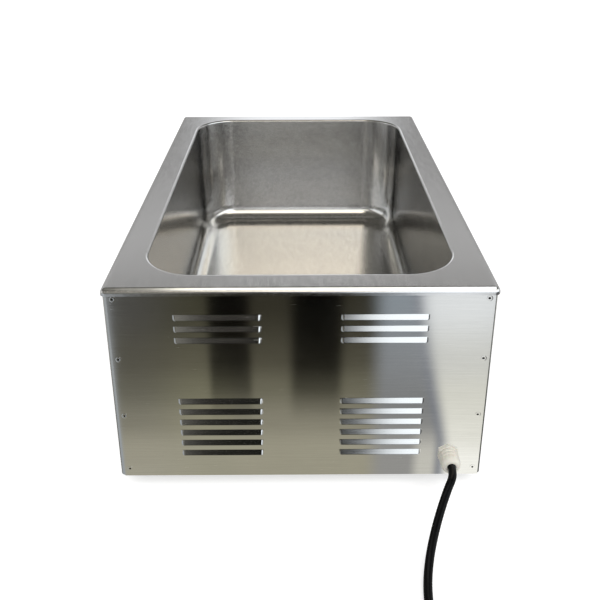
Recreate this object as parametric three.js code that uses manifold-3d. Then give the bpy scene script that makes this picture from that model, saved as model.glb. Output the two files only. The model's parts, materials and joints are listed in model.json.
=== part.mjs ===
// Countertop food warmer for one full-size pan, in millimetres, +Z up.
// It stands on z = 0 with its controls facing -Y. The louvred service panel and the cord face +Y.

import * as THREE from 'three';
import * as BufferGeometryUtils from 'three/addons/utils/BufferGeometryUtils.js';
import Module from 'manifold-3d';

const wasm = await Module();
wasm.setup();

// Overall sizes
const overall_height = 228.6;
const rim_width = 368.3;
const rim_length = 571.5;
const foot_height = 12.7;
const sheet = 0.8;
const fit_gap = 0.3;
const overrun = 2;

// Deck and drawn well
const skirt_height = 6.8;
const rim_corner = 5.3;
const rim_bend = 5;
const deck_side = 30.45;
const deck_front = 23.5;
const deck_rear = 29.4;
const opening_corner = 50;
const opening_bend = 2.5;
const well_rise = 63.6;
const well_draft = 3;
const cove_radius = 22;

// Body sheets
const rear_inset = 2.5;
const fold_radius = 3.5;
const rear_flange = 20;
const bottom_flange = 14;
const panel_strip = 3.65;
const panel_shift = -0.8;
const base_upturn = 10;

// Louvres in the service panel
const louvre_length = 82.4;
const louvre_height = 5.4;
const louvre_lift = 2.5;
const louvre_ramp = 2.6;
const louvre_pitch = 12.4;
const louvre_between = 74.6;
const louvre_top_margin = 27.6;
const louvre_bottom_margin = 27;
const louvre_upper_rows = 3;
const louvre_lower_rows = 6;

// Rivets that hold the service panel
const rivet_radius = 1.6;
const rivet_head_radius = 2.9;
const rivet_head_height = 1;
const rivet_core_radius = 1;
const rivet_side_margin = 5.6;
const rivet_top_margin = 11.3;
const rivet_bottom_margin = 9;
const rivet_rows = 4;

// Feet and their screws
const foot_radius = 12;
const foot_taper = 2;
const foot_inset_x = 40;
const foot_inset_y = 46;
const foot_recess_radius = 5;
const foot_recess_depth = 5;
const screw_radius = 2;
const screw_head_radius = 3.9;
const screw_head_height = 2.4;
const screw_tail = 6;

// Slots in the base plate
const slot_length = 46;
const slot_width = 5;
const slot_pitch_x = 62;
const slot_pitch_y = 34;
const slot_columns = 3;
const slot_rows = 4;

// Heater under the well
const element_radius = 4;
const element_side_margin = 22.45;
const element_front_margin = 36;
const element_rear_margin = 45;
const element_run_out = 5;
const element_pin_radius = 1.5;
const element_pin = 23;
const bush_length = 14;
const strap_thickness = 1;
const strap_width = 16;
const strap_reach = 22;
const strap_splay = 1.5;
const strap_setback = 60;
const shield_height = 22;
const shield_margin = 13;
const shield_flange = 14;
const pad_margin = 5;
const pad_thickness = 10;

// Thermostat, knob and pilot lamp on the front
const control_rise = 28.4;
const thermostat_side_margin = 83.05;
const thermostat_width = 40;
const thermostat_tall = 32;
const thermostat_deep = 28;
const thermostat_screw_pitch = 28;
const bushing_radius = 5;
const shaft_radius = 3;
const shaft_flat = 1;
const shaft_seat = 10;
const tab_width = 6.3;
const tab_thickness = 0.8;
const tab_length = 6;
const tab_pitch = 12;
const bulb_radius = 3;
const bulb_setback = 25;
const bulb_length = 80;
const capillary_radius = 1.2;
const knob_radius = 22;
const knob_grip_radius = 16.5;
const knob_skirt = 4;
const knob_height = 20.6;
const knob_clear = 1;
const knob_edge = 2.5;
const knob_socket = 13;
const knob_flutes = 12;
const flute_radius = 4.5;
const flute_depth = 1.1;
const lamp_pitch = 55;
const lamp_radius = 6;
const lamp_bezel_radius = 8.5;
const lamp_bezel = 3;
const lamp_depth = 24;
const lens_radius = 5.6;
const lens_rise = 3.4;
const lamp_nut_across = 17;
const lamp_nut_thickness = 4;

// Cable gland in the service panel
const gland_side_margin = 35.35;
const gland_reach = 23;
const gland_hex_across = 22;
const gland_hex_thickness = 5;
const gland_thread_radius = 9;
const gland_thread_length = 11;
const gland_neck_radius = 7.6;
const gland_neck_length = 7.5;
const gland_bore_radius = 5.9;
const gland_nut_radius = 9.8;
const gland_nut_straight = 11;
const gland_mouth_radius = 6;
const gland_flutes = 14;
const gland_flute_depth = 0.5;
const locknut_thickness = 5;
const seal_length = 8;

// Wiring inside the body
const lead_radius = 1.3;
const lead_bend = 9;
const sheath_inside = 20;
const core_spread = 2.2;
const block_side_margin = 26.05;
const block_setback = 92.45;
const block_width = 32;
const block_depth = 20;
const block_height = 18;
const block_pole_pitch = 14;
const block_hole_radius = 1.6;
const block_hole_depth = 6;
const lane_spacing = 7;
const front_lane = 24;
const earth_side_margin = 11.05;
const earth_setback = 56.45;
const stud_radius = 2;
const stud_height = 9;
const earth_nut_across = 8;
const earth_nut_height = 3.2;

// Supply cord, about 1.75 m from the gland to the plug
const cord_radius = 4;
const coil_turns_in = 2.375;
const coil_turns_out = 2.375;
const coil_climb_turns = 0.5;
const coil_outer = 58;
const coil_pitch = 8.9;
const tie_thickness = 1;
const tie_width = 12;
const tie_angle = -Math.PI / 3;
const plug_relief = 34;
const plug_relief_radius = 6.6;
const plug_length = 40;
const plug_width = 28;
const plug_corner = 6;
const blade_length = 17.5;
const blade_height = 6.35;
const blade_thickness = 1.5;
const blade_spacing = 12.7;
const blade_rise = 3.5;
const earth_pin_drop = 8.4;
const earth_pin_radius = 2.4;
const earth_pin_length = 21;
const blade_seat = 8;

// Facet counts
const corner_steps = 8;
const round_sides = 24;
const small_sides = 12;
const rivet_sides = 10;
const wire_sides = 8;
const bend_steps = 2;

// Levels and faces worked out from the sizes above
const half_rim_x = rim_width / 2;
const half_rim_y = rim_length / 2;
const body_top = overall_height - rim_bend;
const body_bottom = foot_height;
const body_half = half_rim_x - sheet - fit_gap;
const front_face = -(half_rim_y - sheet - fit_gap);
const front_back = front_face + sheet;
const rear_face = half_rim_y - rear_inset;
const panel_back = rear_face - sheet;
const flange_face = panel_back - fit_gap;
const base_bottom = body_bottom + sheet + fit_gap;
const base_top = base_bottom + sheet;
const well_floor = well_rise;
const opening_width = rim_width - 2 * deck_side;
const opening_length = rim_length - deck_front - deck_rear;
const opening_shift = (deck_front - deck_rear) / 2;
const panel_width = 2 * body_half - 2 * panel_strip;
const control_height = body_bottom + control_rise;
const thermostat_x = body_half - thermostat_side_margin;
const lamp_x = thermostat_x - lamp_pitch;
const gland_x = gland_side_margin - body_half;
const block_x = block_side_margin - body_half;
const block_y = panel_back - block_setback;
const earth_x = earth_side_margin - body_half;
const earth_y = panel_back - earth_setback;
const well_under = well_floor - sheet;
const element_z = well_under - fit_gap - element_radius;
const lead_floor = base_top + fit_gap + lead_radius;
const lead_lane = base_top + screw_tail + fit_gap + lead_radius;

const warmer = new THREE.Group();

function material(colour, roughness, metalness) {
  return new THREE.MeshStandardMaterial({ color: colour, roughness, metalness });
}

const stainless = () => material(0xb4b3ad, 0.32, 1);
const mirror_steel = () => material(0xc9c8c2, 0.2, 1);
const zinc_steel = () => material(0x9fa3a6, 0.45, 1);
const brass = () => material(0xb08d4c, 0.35, 1);
const ceramic = () => material(0xe9e3d2, 0.6, 0);
const black_plastic = () => material(0x161617, 0.5, 0);
const black_rubber = () => material(0x111112, 0.75, 0);
const ivory_nylon = () => material(0xe9e4cf, 0.45, 0);

// Solids, cuts and joins

function welded(geometry) {
  const bare = geometry.clone();
  bare.deleteAttribute('normal');
  bare.deleteAttribute('uv');
  return BufferGeometryUtils.mergeVertices(bare);
}

function solid(geometry) {
  const merged = welded(geometry);
  const vertProperties = new Float32Array(merged.attributes.position.array);
  const triVerts = new Uint32Array(merged.index.array);
  return new wasm.Manifold(new wasm.Mesh({ numProp: 3, vertProperties, triVerts }));
}

function geometry_of(shape) {
  const mesh = shape.getMesh();
  const geometry = new THREE.BufferGeometry();
  geometry.setAttribute('position', new THREE.BufferAttribute(mesh.vertProperties, 3));
  geometry.setIndex(new THREE.BufferAttribute(mesh.triVerts, 1));
  geometry.computeVertexNormals();
  return geometry;
}

function joined(...geometries) {
  let shape = solid(geometries[0]);
  for (const geometry of geometries.slice(1)) {
    shape = shape.add(solid(geometry));
  }
  return geometry_of(shape);
}

function cut(base, ...tools) {
  let shape = solid(base);
  for (const tool of tools) {
    shape = shape.subtract(solid(tool));
  }
  return geometry_of(shape);
}

function piece(name, geometry, finish, x = 0, y = 0, z = 0) {
  const mesh = new THREE.Mesh(geometry, finish);
  mesh.name = name;
  mesh.position.set(x, y, z);
  warmer.add(mesh);
  return mesh;
}

// Closed surface through rings of equal point count, capped at both ends.
function loft(rings) {
  const count = rings[0].length;
  const positions = [];
  const index = [];
  for (const points of rings) {
    for (const point of points) {
      positions.push(point.x, point.y, point.z);
    }
  }
  for (let row = 0; row < rings.length - 1; row += 1) {
    for (let k = 0; k < count; k += 1) {
      const next = (k + 1) % count;
      const a = row * count + k;
      const b = (row + 1) * count + k;
      const c = (row + 1) * count + next;
      const d = row * count + next;
      index.push(a, b, c, a, c, d);
    }
  }
  for (const end of [0, rings.length - 1]) {
    const middle = new THREE.Vector3();
    rings[end].forEach((point) => middle.addScaledVector(point, 1 / count));
    const hub = positions.length / 3;
    positions.push(middle.x, middle.y, middle.z);
    for (let k = 0; k < count; k += 1) {
      const here = end * count + k;
      const next = end * count + ((k + 1) % count);
      index.push(hub, end === 0 ? here : next, end === 0 ? next : here);
    }
  }
  const geometry = new THREE.BufferGeometry();
  geometry.setAttribute('position', new THREE.Float32BufferAttribute(positions, 3));
  geometry.setIndex(index);
  geometry.computeVertexNormals();
  return geometry;
}

// One rounded rectangle in a level plane, counter-clockwise from above.
function rounded_ring(half_x, half_y, radius, centre_y, z) {
  const points = [];
  const signs = [[1, 1], [-1, 1], [-1, -1], [1, -1]];
  signs.forEach(([side_x, side_y], quarter) => {
    for (let k = 0; k <= corner_steps; k += 1) {
      const angle = (quarter + k / corner_steps) * Math.PI / 2;
      const x = side_x * (half_x - radius) + radius * Math.cos(angle);
      const y = centre_y + side_y * (half_y - radius) + radius * Math.sin(angle);
      points.push(new THREE.Vector3(x, y, z));
    }
  });
  return points;
}

// Round tube along a list of points, with flat ends square to the path.
function tube(points, radius, sides) {
  const rings = [];
  const normal = new THREE.Vector3();
  points.forEach((point, k) => {
    const before = points[Math.max(k - 1, 0)];
    const after = points[Math.min(k + 1, points.length - 1)];
    const into = point.clone().sub(before).normalize();
    const out = after.clone().sub(point).normalize();
    const along = into.clone().add(out).normalize();
    if (k === 0) {
      const level = Math.abs(along.z) < Math.SQRT1_2;
      normal.set(level ? 0 : 1, 0, level ? 1 : 0);
    }
    normal.addScaledVector(along, -normal.dot(along)).normalize();
    const across = new THREE.Vector3().crossVectors(along, normal);
    const ring = [];
    for (let side = 0; side < sides; side += 1) {
      const angle = side * 2 * Math.PI / sides;
      const offset = normal.clone().multiplyScalar(radius * Math.cos(angle));
      offset.addScaledVector(across, radius * Math.sin(angle));
      ring.push(point.clone().add(offset));
    }
    rings.push(ring);
  });
  rings.reverse();
  return loft(rings);
}

// Path through corner points, each corner rounded as an arc that leaves some straight run beside it.
const corner_room_share = 0.45;

function rounded_path(corners, radius, steps = bend_steps) {
  const points = [corners[0].clone()];
  for (let k = 1; k < corners.length - 1; k += 1) {
    const back = corners[k - 1].clone().sub(corners[k]);
    const onward = corners[k + 1].clone().sub(corners[k]);
    const turn = Math.PI - back.angleTo(onward);
    const room = Math.min(back.length(), onward.length()) * corner_room_share;
    const bend = Math.min(radius, room / Math.tan(turn / 2));
    back.normalize();
    onward.normalize();
    const inward = back.clone().add(onward).normalize();
    const centre = corners[k].clone().addScaledVector(inward, bend / Math.cos(turn / 2));
    const reach = bend * Math.tan(turn / 2);
    const start = corners[k].clone().addScaledVector(back, reach).sub(centre);
    const end = corners[k].clone().addScaledVector(onward, reach).sub(centre);
    for (let step = 0; step <= steps; step += 1) {
      const share = step / steps;
      const point = centre.clone().addScaledVector(start, Math.sin((1 - share) * turn) / Math.sin(turn));
      points.push(point.addScaledVector(end, Math.sin(share * turn) / Math.sin(turn)));
    }
  }
  points.push(corners[corners.length - 1].clone());
  return points;
}

function vectors(rows) {
  return rows.map(([x, y, z]) => new THREE.Vector3(x, y, z));
}

// Section of a folded sheet: the middle line through the corners, rounded, made thick both ways.
function folded_section(corners, thickness, inner_radius, steps = bend_steps) {
  const flat = corners.map(([x, y]) => new THREE.Vector3(x, y, 0));
  const line = rounded_path(flat, inner_radius + thickness / 2, steps);
  const sides = [[], []];
  line.forEach((point, k) => {
    const before = line[Math.max(k - 1, 0)];
    const after = line[Math.min(k + 1, line.length - 1)];
    const along = after.clone().sub(before).normalize();
    const reach = thickness / 2;
    sides[0].push(new THREE.Vector2(point.x - along.y * reach, point.y + along.x * reach));
    sides[1].push(new THREE.Vector2(point.x + along.y * reach, point.y - along.x * reach));
  });
  return new THREE.Shape([...sides[0], ...sides[1].reverse()]);
}

function extruded(shape, depth, curve_segments = small_sides) {
  return new THREE.ExtrudeGeometry(shape, { depth, bevelEnabled: false, curveSegments: curve_segments });
}

// A shape drawn in X and Z, carried along Y from the low face to the high face.
function along_y(shape, low, high) {
  const geometry = extruded(shape, high - low);
  geometry.rotateX(Math.PI / 2);
  geometry.translate(0, high, 0);
  return geometry;
}

function slab(low_x, high_x, low_y, high_y, low_z, high_z) {
  const geometry = new THREE.BoxGeometry(high_x - low_x, high_y - low_y, high_z - low_z);
  geometry.translate((low_x + high_x) / 2, (low_y + high_y) / 2, (low_z + high_z) / 2);
  return geometry;
}

function rounded_slab(half_x, half_y, radius, centre_y, low, high) {
  return loft([high, low].map((z) => rounded_ring(half_x, half_y, radius, centre_y, z)));
}

// Cylinder with its axis along Y or along Z.
function rod_y(radius, x, z, low_y, high_y, sides = small_sides) {
  const geometry = new THREE.CylinderGeometry(radius, radius, high_y - low_y, sides);
  geometry.translate(x, (low_y + high_y) / 2, z);
  return geometry;
}

function rod_z(radius, x, y, low_z, high_z, sides = small_sides) {
  const geometry = new THREE.CylinderGeometry(radius, radius, high_z - low_z, sides);
  geometry.rotateX(Math.PI / 2);
  geometry.translate(x, y, (low_z + high_z) / 2);
  return geometry;
}

// Revolved profile: points are [radius, height] with the height along +Y.
function turned(profile, sides = round_sides) {
  return new THREE.LatheGeometry(profile.map(([r, h]) => new THREE.Vector2(r, h)), sides);
}

function hexagon_prism(across, low_y, high_y) {
  const radius = across / Math.sqrt(3);
  const geometry = new THREE.CylinderGeometry(radius, radius, high_y - low_y, 6);
  geometry.translate(0, (low_y + high_y) / 2, 0);
  return geometry;
}

// Deck, skirt and deep-drawn well, pressed in one sheet

const wall_half_x = (opening_width - opening_bend) / 2;
const wall_half_y = (opening_length - opening_bend) / 2;
const floor_wall_x = wall_half_x - well_draft;
const floor_wall_y = wall_half_y - well_draft;

function well_rings(offset) {
  const rings = [];
  const cove = cove_radius + offset;
  const cove_steps = 2 * bend_steps;
  for (let k = 0; k <= cove_steps; k += 1) {
    const angle = k / cove_steps * Math.PI / 2;
    const inset = cove_radius - cove * Math.sin(angle);
    const z = well_floor + cove_radius - cove * Math.cos(angle);
    const corner = opening_corner - well_draft - inset;
    rings.push(rounded_ring(floor_wall_x - inset, floor_wall_y - inset, corner, opening_shift, z));
  }
  const lip = opening_bend - offset;
  for (let k = 0; k <= bend_steps; k += 1) {
    const angle = k / bend_steps * Math.PI / 2;
    const outset = opening_bend - lip * Math.cos(angle);
    const z = overall_height - opening_bend + lip * Math.sin(angle);
    const corner = opening_corner + outset;
    rings.push(rounded_ring(wall_half_x + outset, wall_half_y + outset, corner, opening_shift, z));
  }
  const edge = rim_bend - offset;
  const edge_steps = 2 * bend_steps;
  for (let k = 0; k <= edge_steps; k += 1) {
    const angle = k / edge_steps * Math.PI / 2;
    const inset = rim_bend - edge * Math.sin(angle);
    const z = overall_height - rim_bend + edge * Math.cos(angle);
    rings.push(rounded_ring(half_rim_x - inset, half_rim_y - inset, rim_corner - inset, 0, z));
  }
  const low = overall_height - skirt_height;
  rings.push(rounded_ring(half_rim_x - offset, half_rim_y - offset, rim_corner - offset, 0, low));
  return rings;
}

const well_sheet = loft([...well_rings(0), ...well_rings(sheet).reverse()]);
piece('well_top', well_sheet, stainless());

// Wrapper: front and both sides in one folded sheet, with flanges at the rear and the bottom

function rivet_places() {
  const places = [];
  const column = panel_width / 2 - rivet_side_margin;
  const highest = overall_height - rivet_top_margin;
  const lowest = body_bottom + rivet_bottom_margin;
  for (const side of [-1, 1]) {
    for (let row = 0; row < rivet_rows; row += 1) {
      const z = highest - row * (highest - lowest) / (rivet_rows - 1);
      places.push([panel_shift + side * column, z]);
    }
  }
  return places;
}

const rivets = rivet_places();
const thermostat_screws = [-1, 1].map((side) => thermostat_x + side * thermostat_screw_pitch / 2);

// The bottom flange's corners are nipped off, so that they stay inside the wall's rounded folds.
const corner_nip_share = 0.6;

function wrapper_geometry() {
  const wall = body_half - sheet / 2;
  const front = front_face + sheet / 2;
  const rear = flange_face - sheet / 2;
  const tip = body_half - rear_flange;
  const corners = [[-tip, rear], [-wall, rear], [-wall, front], [wall, front], [wall, rear], [tip, rear]];
  const walls = extruded(folded_section(corners, sheet, fold_radius), body_top - body_bottom);
  walls.translate(0, 0, body_bottom);
  const inner = body_half - bottom_flange;
  const nip = fold_radius * corner_nip_share;
  const flange_corners = [
    [-wall, rear - nip], [-wall, front + nip], [-wall + nip, front],
    [wall - nip, front], [wall, front + nip], [wall, rear - nip], [wall - nip, rear],
    [inner, rear], [inner, front_face + bottom_flange],
    [-inner, front_face + bottom_flange], [-inner, rear], [-wall + nip, rear],
  ];
  const flange = extruded(new THREE.Shape(flange_corners.map(([x, y]) => new THREE.Vector2(x, y))), sheet);
  flange.translate(0, 0, body_bottom);
  const low = front_face - overrun;
  const high = front_back + overrun;
  const holes = [
    rod_y(bushing_radius + fit_gap, thermostat_x, control_height, low, high),
    rod_y(lamp_radius + fit_gap, lamp_x, control_height, low, high),
  ];
  for (const x of thermostat_screws) {
    holes.push(rod_y(screw_radius + fit_gap, x, control_height, low, high));
  }
  for (const [x, z] of rivets) {
    holes.push(rod_y(rivet_radius + fit_gap, x, z, flange_face - sheet - overrun, flange_face + overrun));
  }
  return cut(joined(walls, flange), ...holes);
}

piece('body_wrapper', wrapper_geometry(), stainless());

// Service panel with pressed louvres, open downwards

function smooth(share) {
  return Math.sin(share * Math.PI / 2);
}

// One louvre's outer face or, with a depth below it, the hollow behind it.
function louvre_block(x, top, drop, back) {
  const end_shares = [0, 0.4, 1];
  const fall_shares = [0, 0.1, 0.85, 1];
  const rise_shares = [0, 0.09, 1, 1];
  const half = louvre_length / 2;
  const stations = [];
  for (const share of end_shares) {
    stations.push([-half + share * louvre_ramp, share]);
  }
  for (const share of [...end_shares].reverse()) {
    stations.push([half - share * louvre_ramp, share]);
  }
  const rings = stations.map(([offset, share]) => {
    const lift = louvre_lift * smooth(share);
    const ring = fall_shares.map((fall, k) => {
      const rise = lift * rise_shares[k] - drop;
      return new THREE.Vector3(x + offset, rear_face + Math.max(rise, back), top - fall * louvre_height);
    });
    ring.push(new THREE.Vector3(x + offset, rear_face + back - overrun, top - louvre_height));
    ring.push(new THREE.Vector3(x + offset, rear_face + back - overrun, top));
    return ring;
  });
  return loft(rings);
}

function louvre_places() {
  const tops = [];
  for (let row = 0; row < louvre_upper_rows; row += 1) {
    tops.push(overall_height - louvre_top_margin - row * louvre_pitch);
  }
  for (let row = 0; row < louvre_lower_rows; row += 1) {
    tops.push(body_bottom + louvre_bottom_margin + louvre_height + row * louvre_pitch);
  }
  const column = (louvre_between + louvre_length) / 2;
  return tops.flatMap((top) => [-1, 1].map((side) => [panel_shift + side * column, top]));
}

function panel_geometry() {
  const low_x = panel_shift - panel_width / 2;
  const high_x = panel_shift + panel_width / 2;
  const proud = rear_face + overrun + louvre_lift;
  const room = solid(slab(low_x, high_x, panel_back + sheet / 4, proud, body_bottom, body_top));
  let panel = solid(slab(low_x, high_x, panel_back, rear_face, body_bottom, body_top));
  for (const [x, top] of louvre_places()) {
    panel = panel.add(solid(louvre_block(x, top, 0, -sheet / 2)).intersect(room));
  }
  for (const [x, top] of louvre_places()) {
    const hollow = louvre_block(x, top, sheet, -sheet);
    hollow.translate(0, 0, -fit_gap / 2);
    panel = panel.subtract(solid(hollow));
  }
  const low = panel_back - overrun;
  const high = rear_face + overrun;
  const gland_hole = rod_y(gland_thread_radius + fit_gap, gland_x, control_height, low, high, round_sides);
  panel = panel.subtract(solid(gland_hole));
  for (const [x, z] of rivets) {
    panel = panel.subtract(solid(rod_y(rivet_radius + fit_gap, x, z, low, high)));
  }
  return geometry_of(panel);
}

piece('rear_panel', panel_geometry(), mirror_steel());

// Blind rivets: domed head outside, swelled tail behind the flange, open core

function rivet_geometry() {
  const head = rear_face + fit_gap;
  const tail = flange_face - sheet - fit_gap;
  const dome = new THREE.EllipseCurve(0, 0, rivet_head_radius, rivet_head_height, 0, Math.PI / 2);
  const dome_points = dome.getPoints(bend_steps).filter((point) => point.x > rivet_core_radius);
  const tip = tail - rivet_radius;
  const profile = [
    [0, head + rivet_head_height / 2],
    [rivet_core_radius, head + rivet_head_height / 2],
    [rivet_core_radius, head + rivet_head_height],
    ...dome_points.reverse().map((point) => [point.x, head + point.y]),
    [rivet_radius, head],
    [rivet_radius, tail],
    [rivet_radius + rivet_core_radius, tail],
    [rivet_radius, tip],
    [0, tip],
  ];
  return turned(profile.reverse(), rivet_sides);
}

rivets.forEach(([x, z], k) => {
  piece(`panel_rivet_${k + 1}`, rivet_geometry(), zinc_steel(), x, 0, z);
});

// Base plate on the bottom flanges, turned up behind the service panel

const foot_places = [];
for (const side_y of [-1, 1]) {
  for (const side_x of [-1, 1]) {
    foot_places.push([side_x * (half_rim_x - foot_inset_x), side_y * (half_rim_y - foot_inset_y)]);
  }
}

function slot_geometry(x, y) {
  const reach = (slot_length - slot_width) / 2;
  const shape = new THREE.Shape();
  shape.absarc(reach, 0, slot_width / 2, -Math.PI / 2, Math.PI / 2, false);
  shape.absarc(-reach, 0, slot_width / 2, Math.PI / 2, 3 * Math.PI / 2, false);
  const geometry = extruded(shape, sheet + 2 * overrun, bend_steps);
  geometry.translate(x, y, base_bottom - overrun);
  return geometry;
}

function base_geometry() {
  const half = body_half - sheet - fit_gap;
  const turned_half = body_half - rear_flange - fit_gap;
  const upturn_back = panel_back - fit_gap;
  const plate_end = flange_face - sheet - fit_gap;
  const front = front_back + fit_gap;
  const middle = (plate_end + front) / 2;
  const lip = base_top + base_upturn;
  const low = base_bottom - overrun;
  const high = base_top + overrun;
  const plate = rounded_slab(half, middle - front, fold_radius, middle, base_bottom, base_top);
  const tongue = slab(-turned_half, turned_half, plate_end - sheet, upturn_back, base_bottom, base_top);
  const upturn = slab(-turned_half, turned_half, upturn_back - sheet, upturn_back, base_bottom, lip);
  const stud = rod_z(stud_radius, earth_x, earth_y, base_bottom + sheet / 2, base_top + stud_height);
  const holes = foot_places.map(([x, y]) => rod_z(screw_radius + fit_gap, x, y, low, high));
  for (let column = 0; column < slot_columns; column += 1) {
    for (let row = 0; row < slot_rows; row += 1) {
      const x = (column - (slot_columns - 1) / 2) * slot_pitch_x;
      const y = (row - (slot_rows - 1) / 2) * slot_pitch_y;
      holes.push(slot_geometry(x, y));
    }
  }
  return cut(joined(plate, tongue, upturn, stud), ...holes);
}

piece('base_plate', base_geometry(), zinc_steel());

// Rubber feet with a recessed screw each

function foot_geometry() {
  const top = base_bottom - fit_gap;
  return turned([
    [screw_radius + fit_gap, foot_recess_depth],
    [foot_recess_radius, foot_recess_depth],
    [foot_recess_radius, 0],
    [foot_radius - foot_taper, 0],
    [foot_radius, foot_taper],
    [foot_radius, top],
    [screw_radius + fit_gap, top],
    [screw_radius + fit_gap, foot_recess_depth],
  ]);
}

function foot_screw_geometry() {
  const seat = foot_recess_depth - fit_gap;
  return turned([
    [0, seat - screw_head_height],
    [screw_head_radius - screw_head_height / 2, seat - screw_head_height],
    [screw_head_radius, seat - screw_head_height / 2],
    [screw_head_radius, seat],
    [screw_radius, seat],
    [screw_radius, base_top + screw_tail],
    [0, base_top + screw_tail],
  ], small_sides);
}

function upright(geometry) {
  return geometry.rotateX(Math.PI / 2);
}

foot_places.forEach(([x, y], k) => {
  piece(`foot_${k + 1}`, upright(foot_geometry()), black_rubber(), x, y);
  piece(`foot_screw_${k + 1}`, upright(foot_screw_geometry()), zinc_steel(), x, y);
});

// Heating element in four runs under the well floor, with its bushes and hold-down straps

const floor_half_x = floor_wall_x - cove_radius;
const floor_half_y = floor_wall_y - cove_radius;
const element_half = floor_half_x - element_side_margin;
const element_run_pitch = 2 * element_half / 3;
const run_places = [0, 1, 2, 3].map((run) => run * element_run_pitch - element_half);
const element_front_end = opening_shift - floor_half_y + element_front_margin;
const element_rear_end = opening_shift + floor_half_y - element_rear_margin;
const element_front = element_front_end - element_run_out;

function element_geometry() {
  const turn = element_run_pitch / 2;
  const corners = [
    [run_places[0], element_front],
    [run_places[0], element_rear_end],
    [run_places[1], element_rear_end],
    [run_places[1], element_front_end],
    [run_places[2], element_front_end],
    [run_places[2], element_rear_end],
    [run_places[3], element_rear_end],
    [run_places[3], element_front],
  ];
  const path = rounded_path(vectors(corners.map(([x, y]) => [x, y, element_z])), turn, 2 * bend_steps);
  const sheath = tube(path, element_radius, small_sides);
  const pins = [run_places[0], run_places[3]].map((x) => (
    rod_y(element_pin_radius, x, element_z, element_front - element_pin, element_front + overrun)
  ));
  return joined(sheath, ...pins);
}

piece('heating_element', element_geometry(), zinc_steel());

[run_places[0], run_places[3]].forEach((x, k) => {
  const bore = element_pin_radius + fit_gap;
  const near = element_front - fit_gap;
  const far = near - bush_length;
  const bush = turned([
    [bore, far],
    [element_radius - bore / 2, far],
    [element_radius, near - bush_length / 2],
    [element_radius, near],
    [bore, near],
    [bore, far],
  ], small_sides);
  piece(`element_bush_${k + 1}`, bush, ceramic(), x, 0, element_z);
});

function strap_geometry(place) {
  const top = well_under - fit_gap - strap_thickness / 2;
  const low = element_z - element_radius - fit_gap - strap_thickness / 2;
  const side = element_radius + fit_gap + strap_thickness / 2;
  const corners = [[run_places[0] - strap_reach, top]];
  for (const x of run_places) {
    corners.push([x - side - strap_splay, top]);
    corners.push([x - side, low]);
    corners.push([x + side, low]);
    corners.push([x + side + strap_splay, top]);
  }
  corners.push([run_places[3] + strap_reach, top]);
  const section = folded_section(corners, strap_thickness, fit_gap, 1);
  return along_y(section, place - strap_width / 2, place + strap_width / 2);
}

const strap_first = element_front_end + strap_setback;
const strap_last = element_rear_end - strap_setback;
[strap_first, (strap_first + strap_last) / 2, strap_last].forEach((place, k) => {
  piece(`element_strap_${k + 1}`, strap_geometry(place), zinc_steel());
});

// Heat shield standing on the base plate, with the insulation pad on it

const shield_foot = base_top + fit_gap + sheet / 2;
const shield_top = base_top + fit_gap + shield_height;

const shield_half = element_half + shield_margin;

function shield_geometry() {
  const half = shield_half;
  const high = shield_top - sheet / 2;
  const corners = [
    [-half - shield_flange, shield_foot], [-half, shield_foot], [-half, high],
    [half, high], [half, shield_foot], [half + shield_flange, shield_foot],
  ];
  return along_y(folded_section(corners, sheet, fold_radius), element_front_end, element_rear_end);
}

piece('heat_shield', shield_geometry(), zinc_steel());

const pad_bottom = shield_top + fit_gap;
const pad_half_x = shield_half - pad_margin;
const pad_half_y = (element_rear_end - element_front_end) / 2 - pad_margin;
const pad_centre = (element_rear_end + element_front_end) / 2;
const pad_top = pad_bottom + pad_thickness;
const pad = rounded_slab(pad_half_x, pad_half_y, pad_margin, pad_centre, pad_bottom, pad_top);
piece('insulation_pad', pad, material(0xded9c6, 0.95, 0));

// Thermostat behind the front, its shaft and screws

const thermostat_front = front_back + fit_gap;
const thermostat_rear = thermostat_front + thermostat_deep;
const tab_places = [-1, 0, 1].map((step) => thermostat_x + step * tab_pitch);
const tab_level = control_height + thermostat_tall / 4;

function thermostat_geometry() {
  const half = thermostat_width / 2;
  const bushing_end = front_face - knob_clear / 2;
  const low = control_height - thermostat_tall / 2;
  const high = control_height + thermostat_tall / 2;
  const parts = [
    slab(thermostat_x - half, thermostat_x + half, thermostat_front, thermostat_rear, low, high),
    rod_y(bushing_radius, thermostat_x, control_height, bushing_end, thermostat_front + overrun),
  ];
  for (const x of tab_places) {
    parts.push(slab(
      x - tab_width / 2, x + tab_width / 2,
      thermostat_rear - overrun, thermostat_rear + tab_length,
      tab_level - tab_thickness / 2, tab_level + tab_thickness / 2,
    ));
  }
  const holes = [rod_y(shaft_radius + fit_gap, thermostat_x, control_height,
    front_face - overrun, thermostat_front + shaft_seat, round_sides)];
  for (const x of thermostat_screws) {
    holes.push(rod_y(screw_radius + fit_gap, x, control_height,
      thermostat_front - overrun, thermostat_front + screw_tail + fit_gap));
  }
  return cut(joined(...parts), ...holes);
}

piece('thermostat_body', thermostat_geometry(), ceramic());

const knob_back = front_face - knob_clear - screw_head_height;
const knob_front = knob_back - knob_height;

function d_rod(radius, flat, low_y, high_y) {
  const round = rod_y(radius, thermostat_x, control_height, low_y, high_y, round_sides);
  const wide = 2 * radius;
  const shave = slab(thermostat_x - wide, thermostat_x + wide, low_y - overrun, high_y + overrun,
    control_height + radius - flat, control_height + wide);
  return cut(round, shave);
}

function shaft_geometry() {
  const inner = thermostat_front + shaft_seat - fit_gap;
  const outer = knob_back - knob_socket + fit_gap;
  const round = rod_y(shaft_radius, thermostat_x, control_height, knob_back + overrun, inner, round_sides);
  return joined(round, d_rod(shaft_radius, shaft_flat, outer, knob_back + 2 * overrun));
}

piece('thermostat_shaft', shaft_geometry(), zinc_steel());

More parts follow.
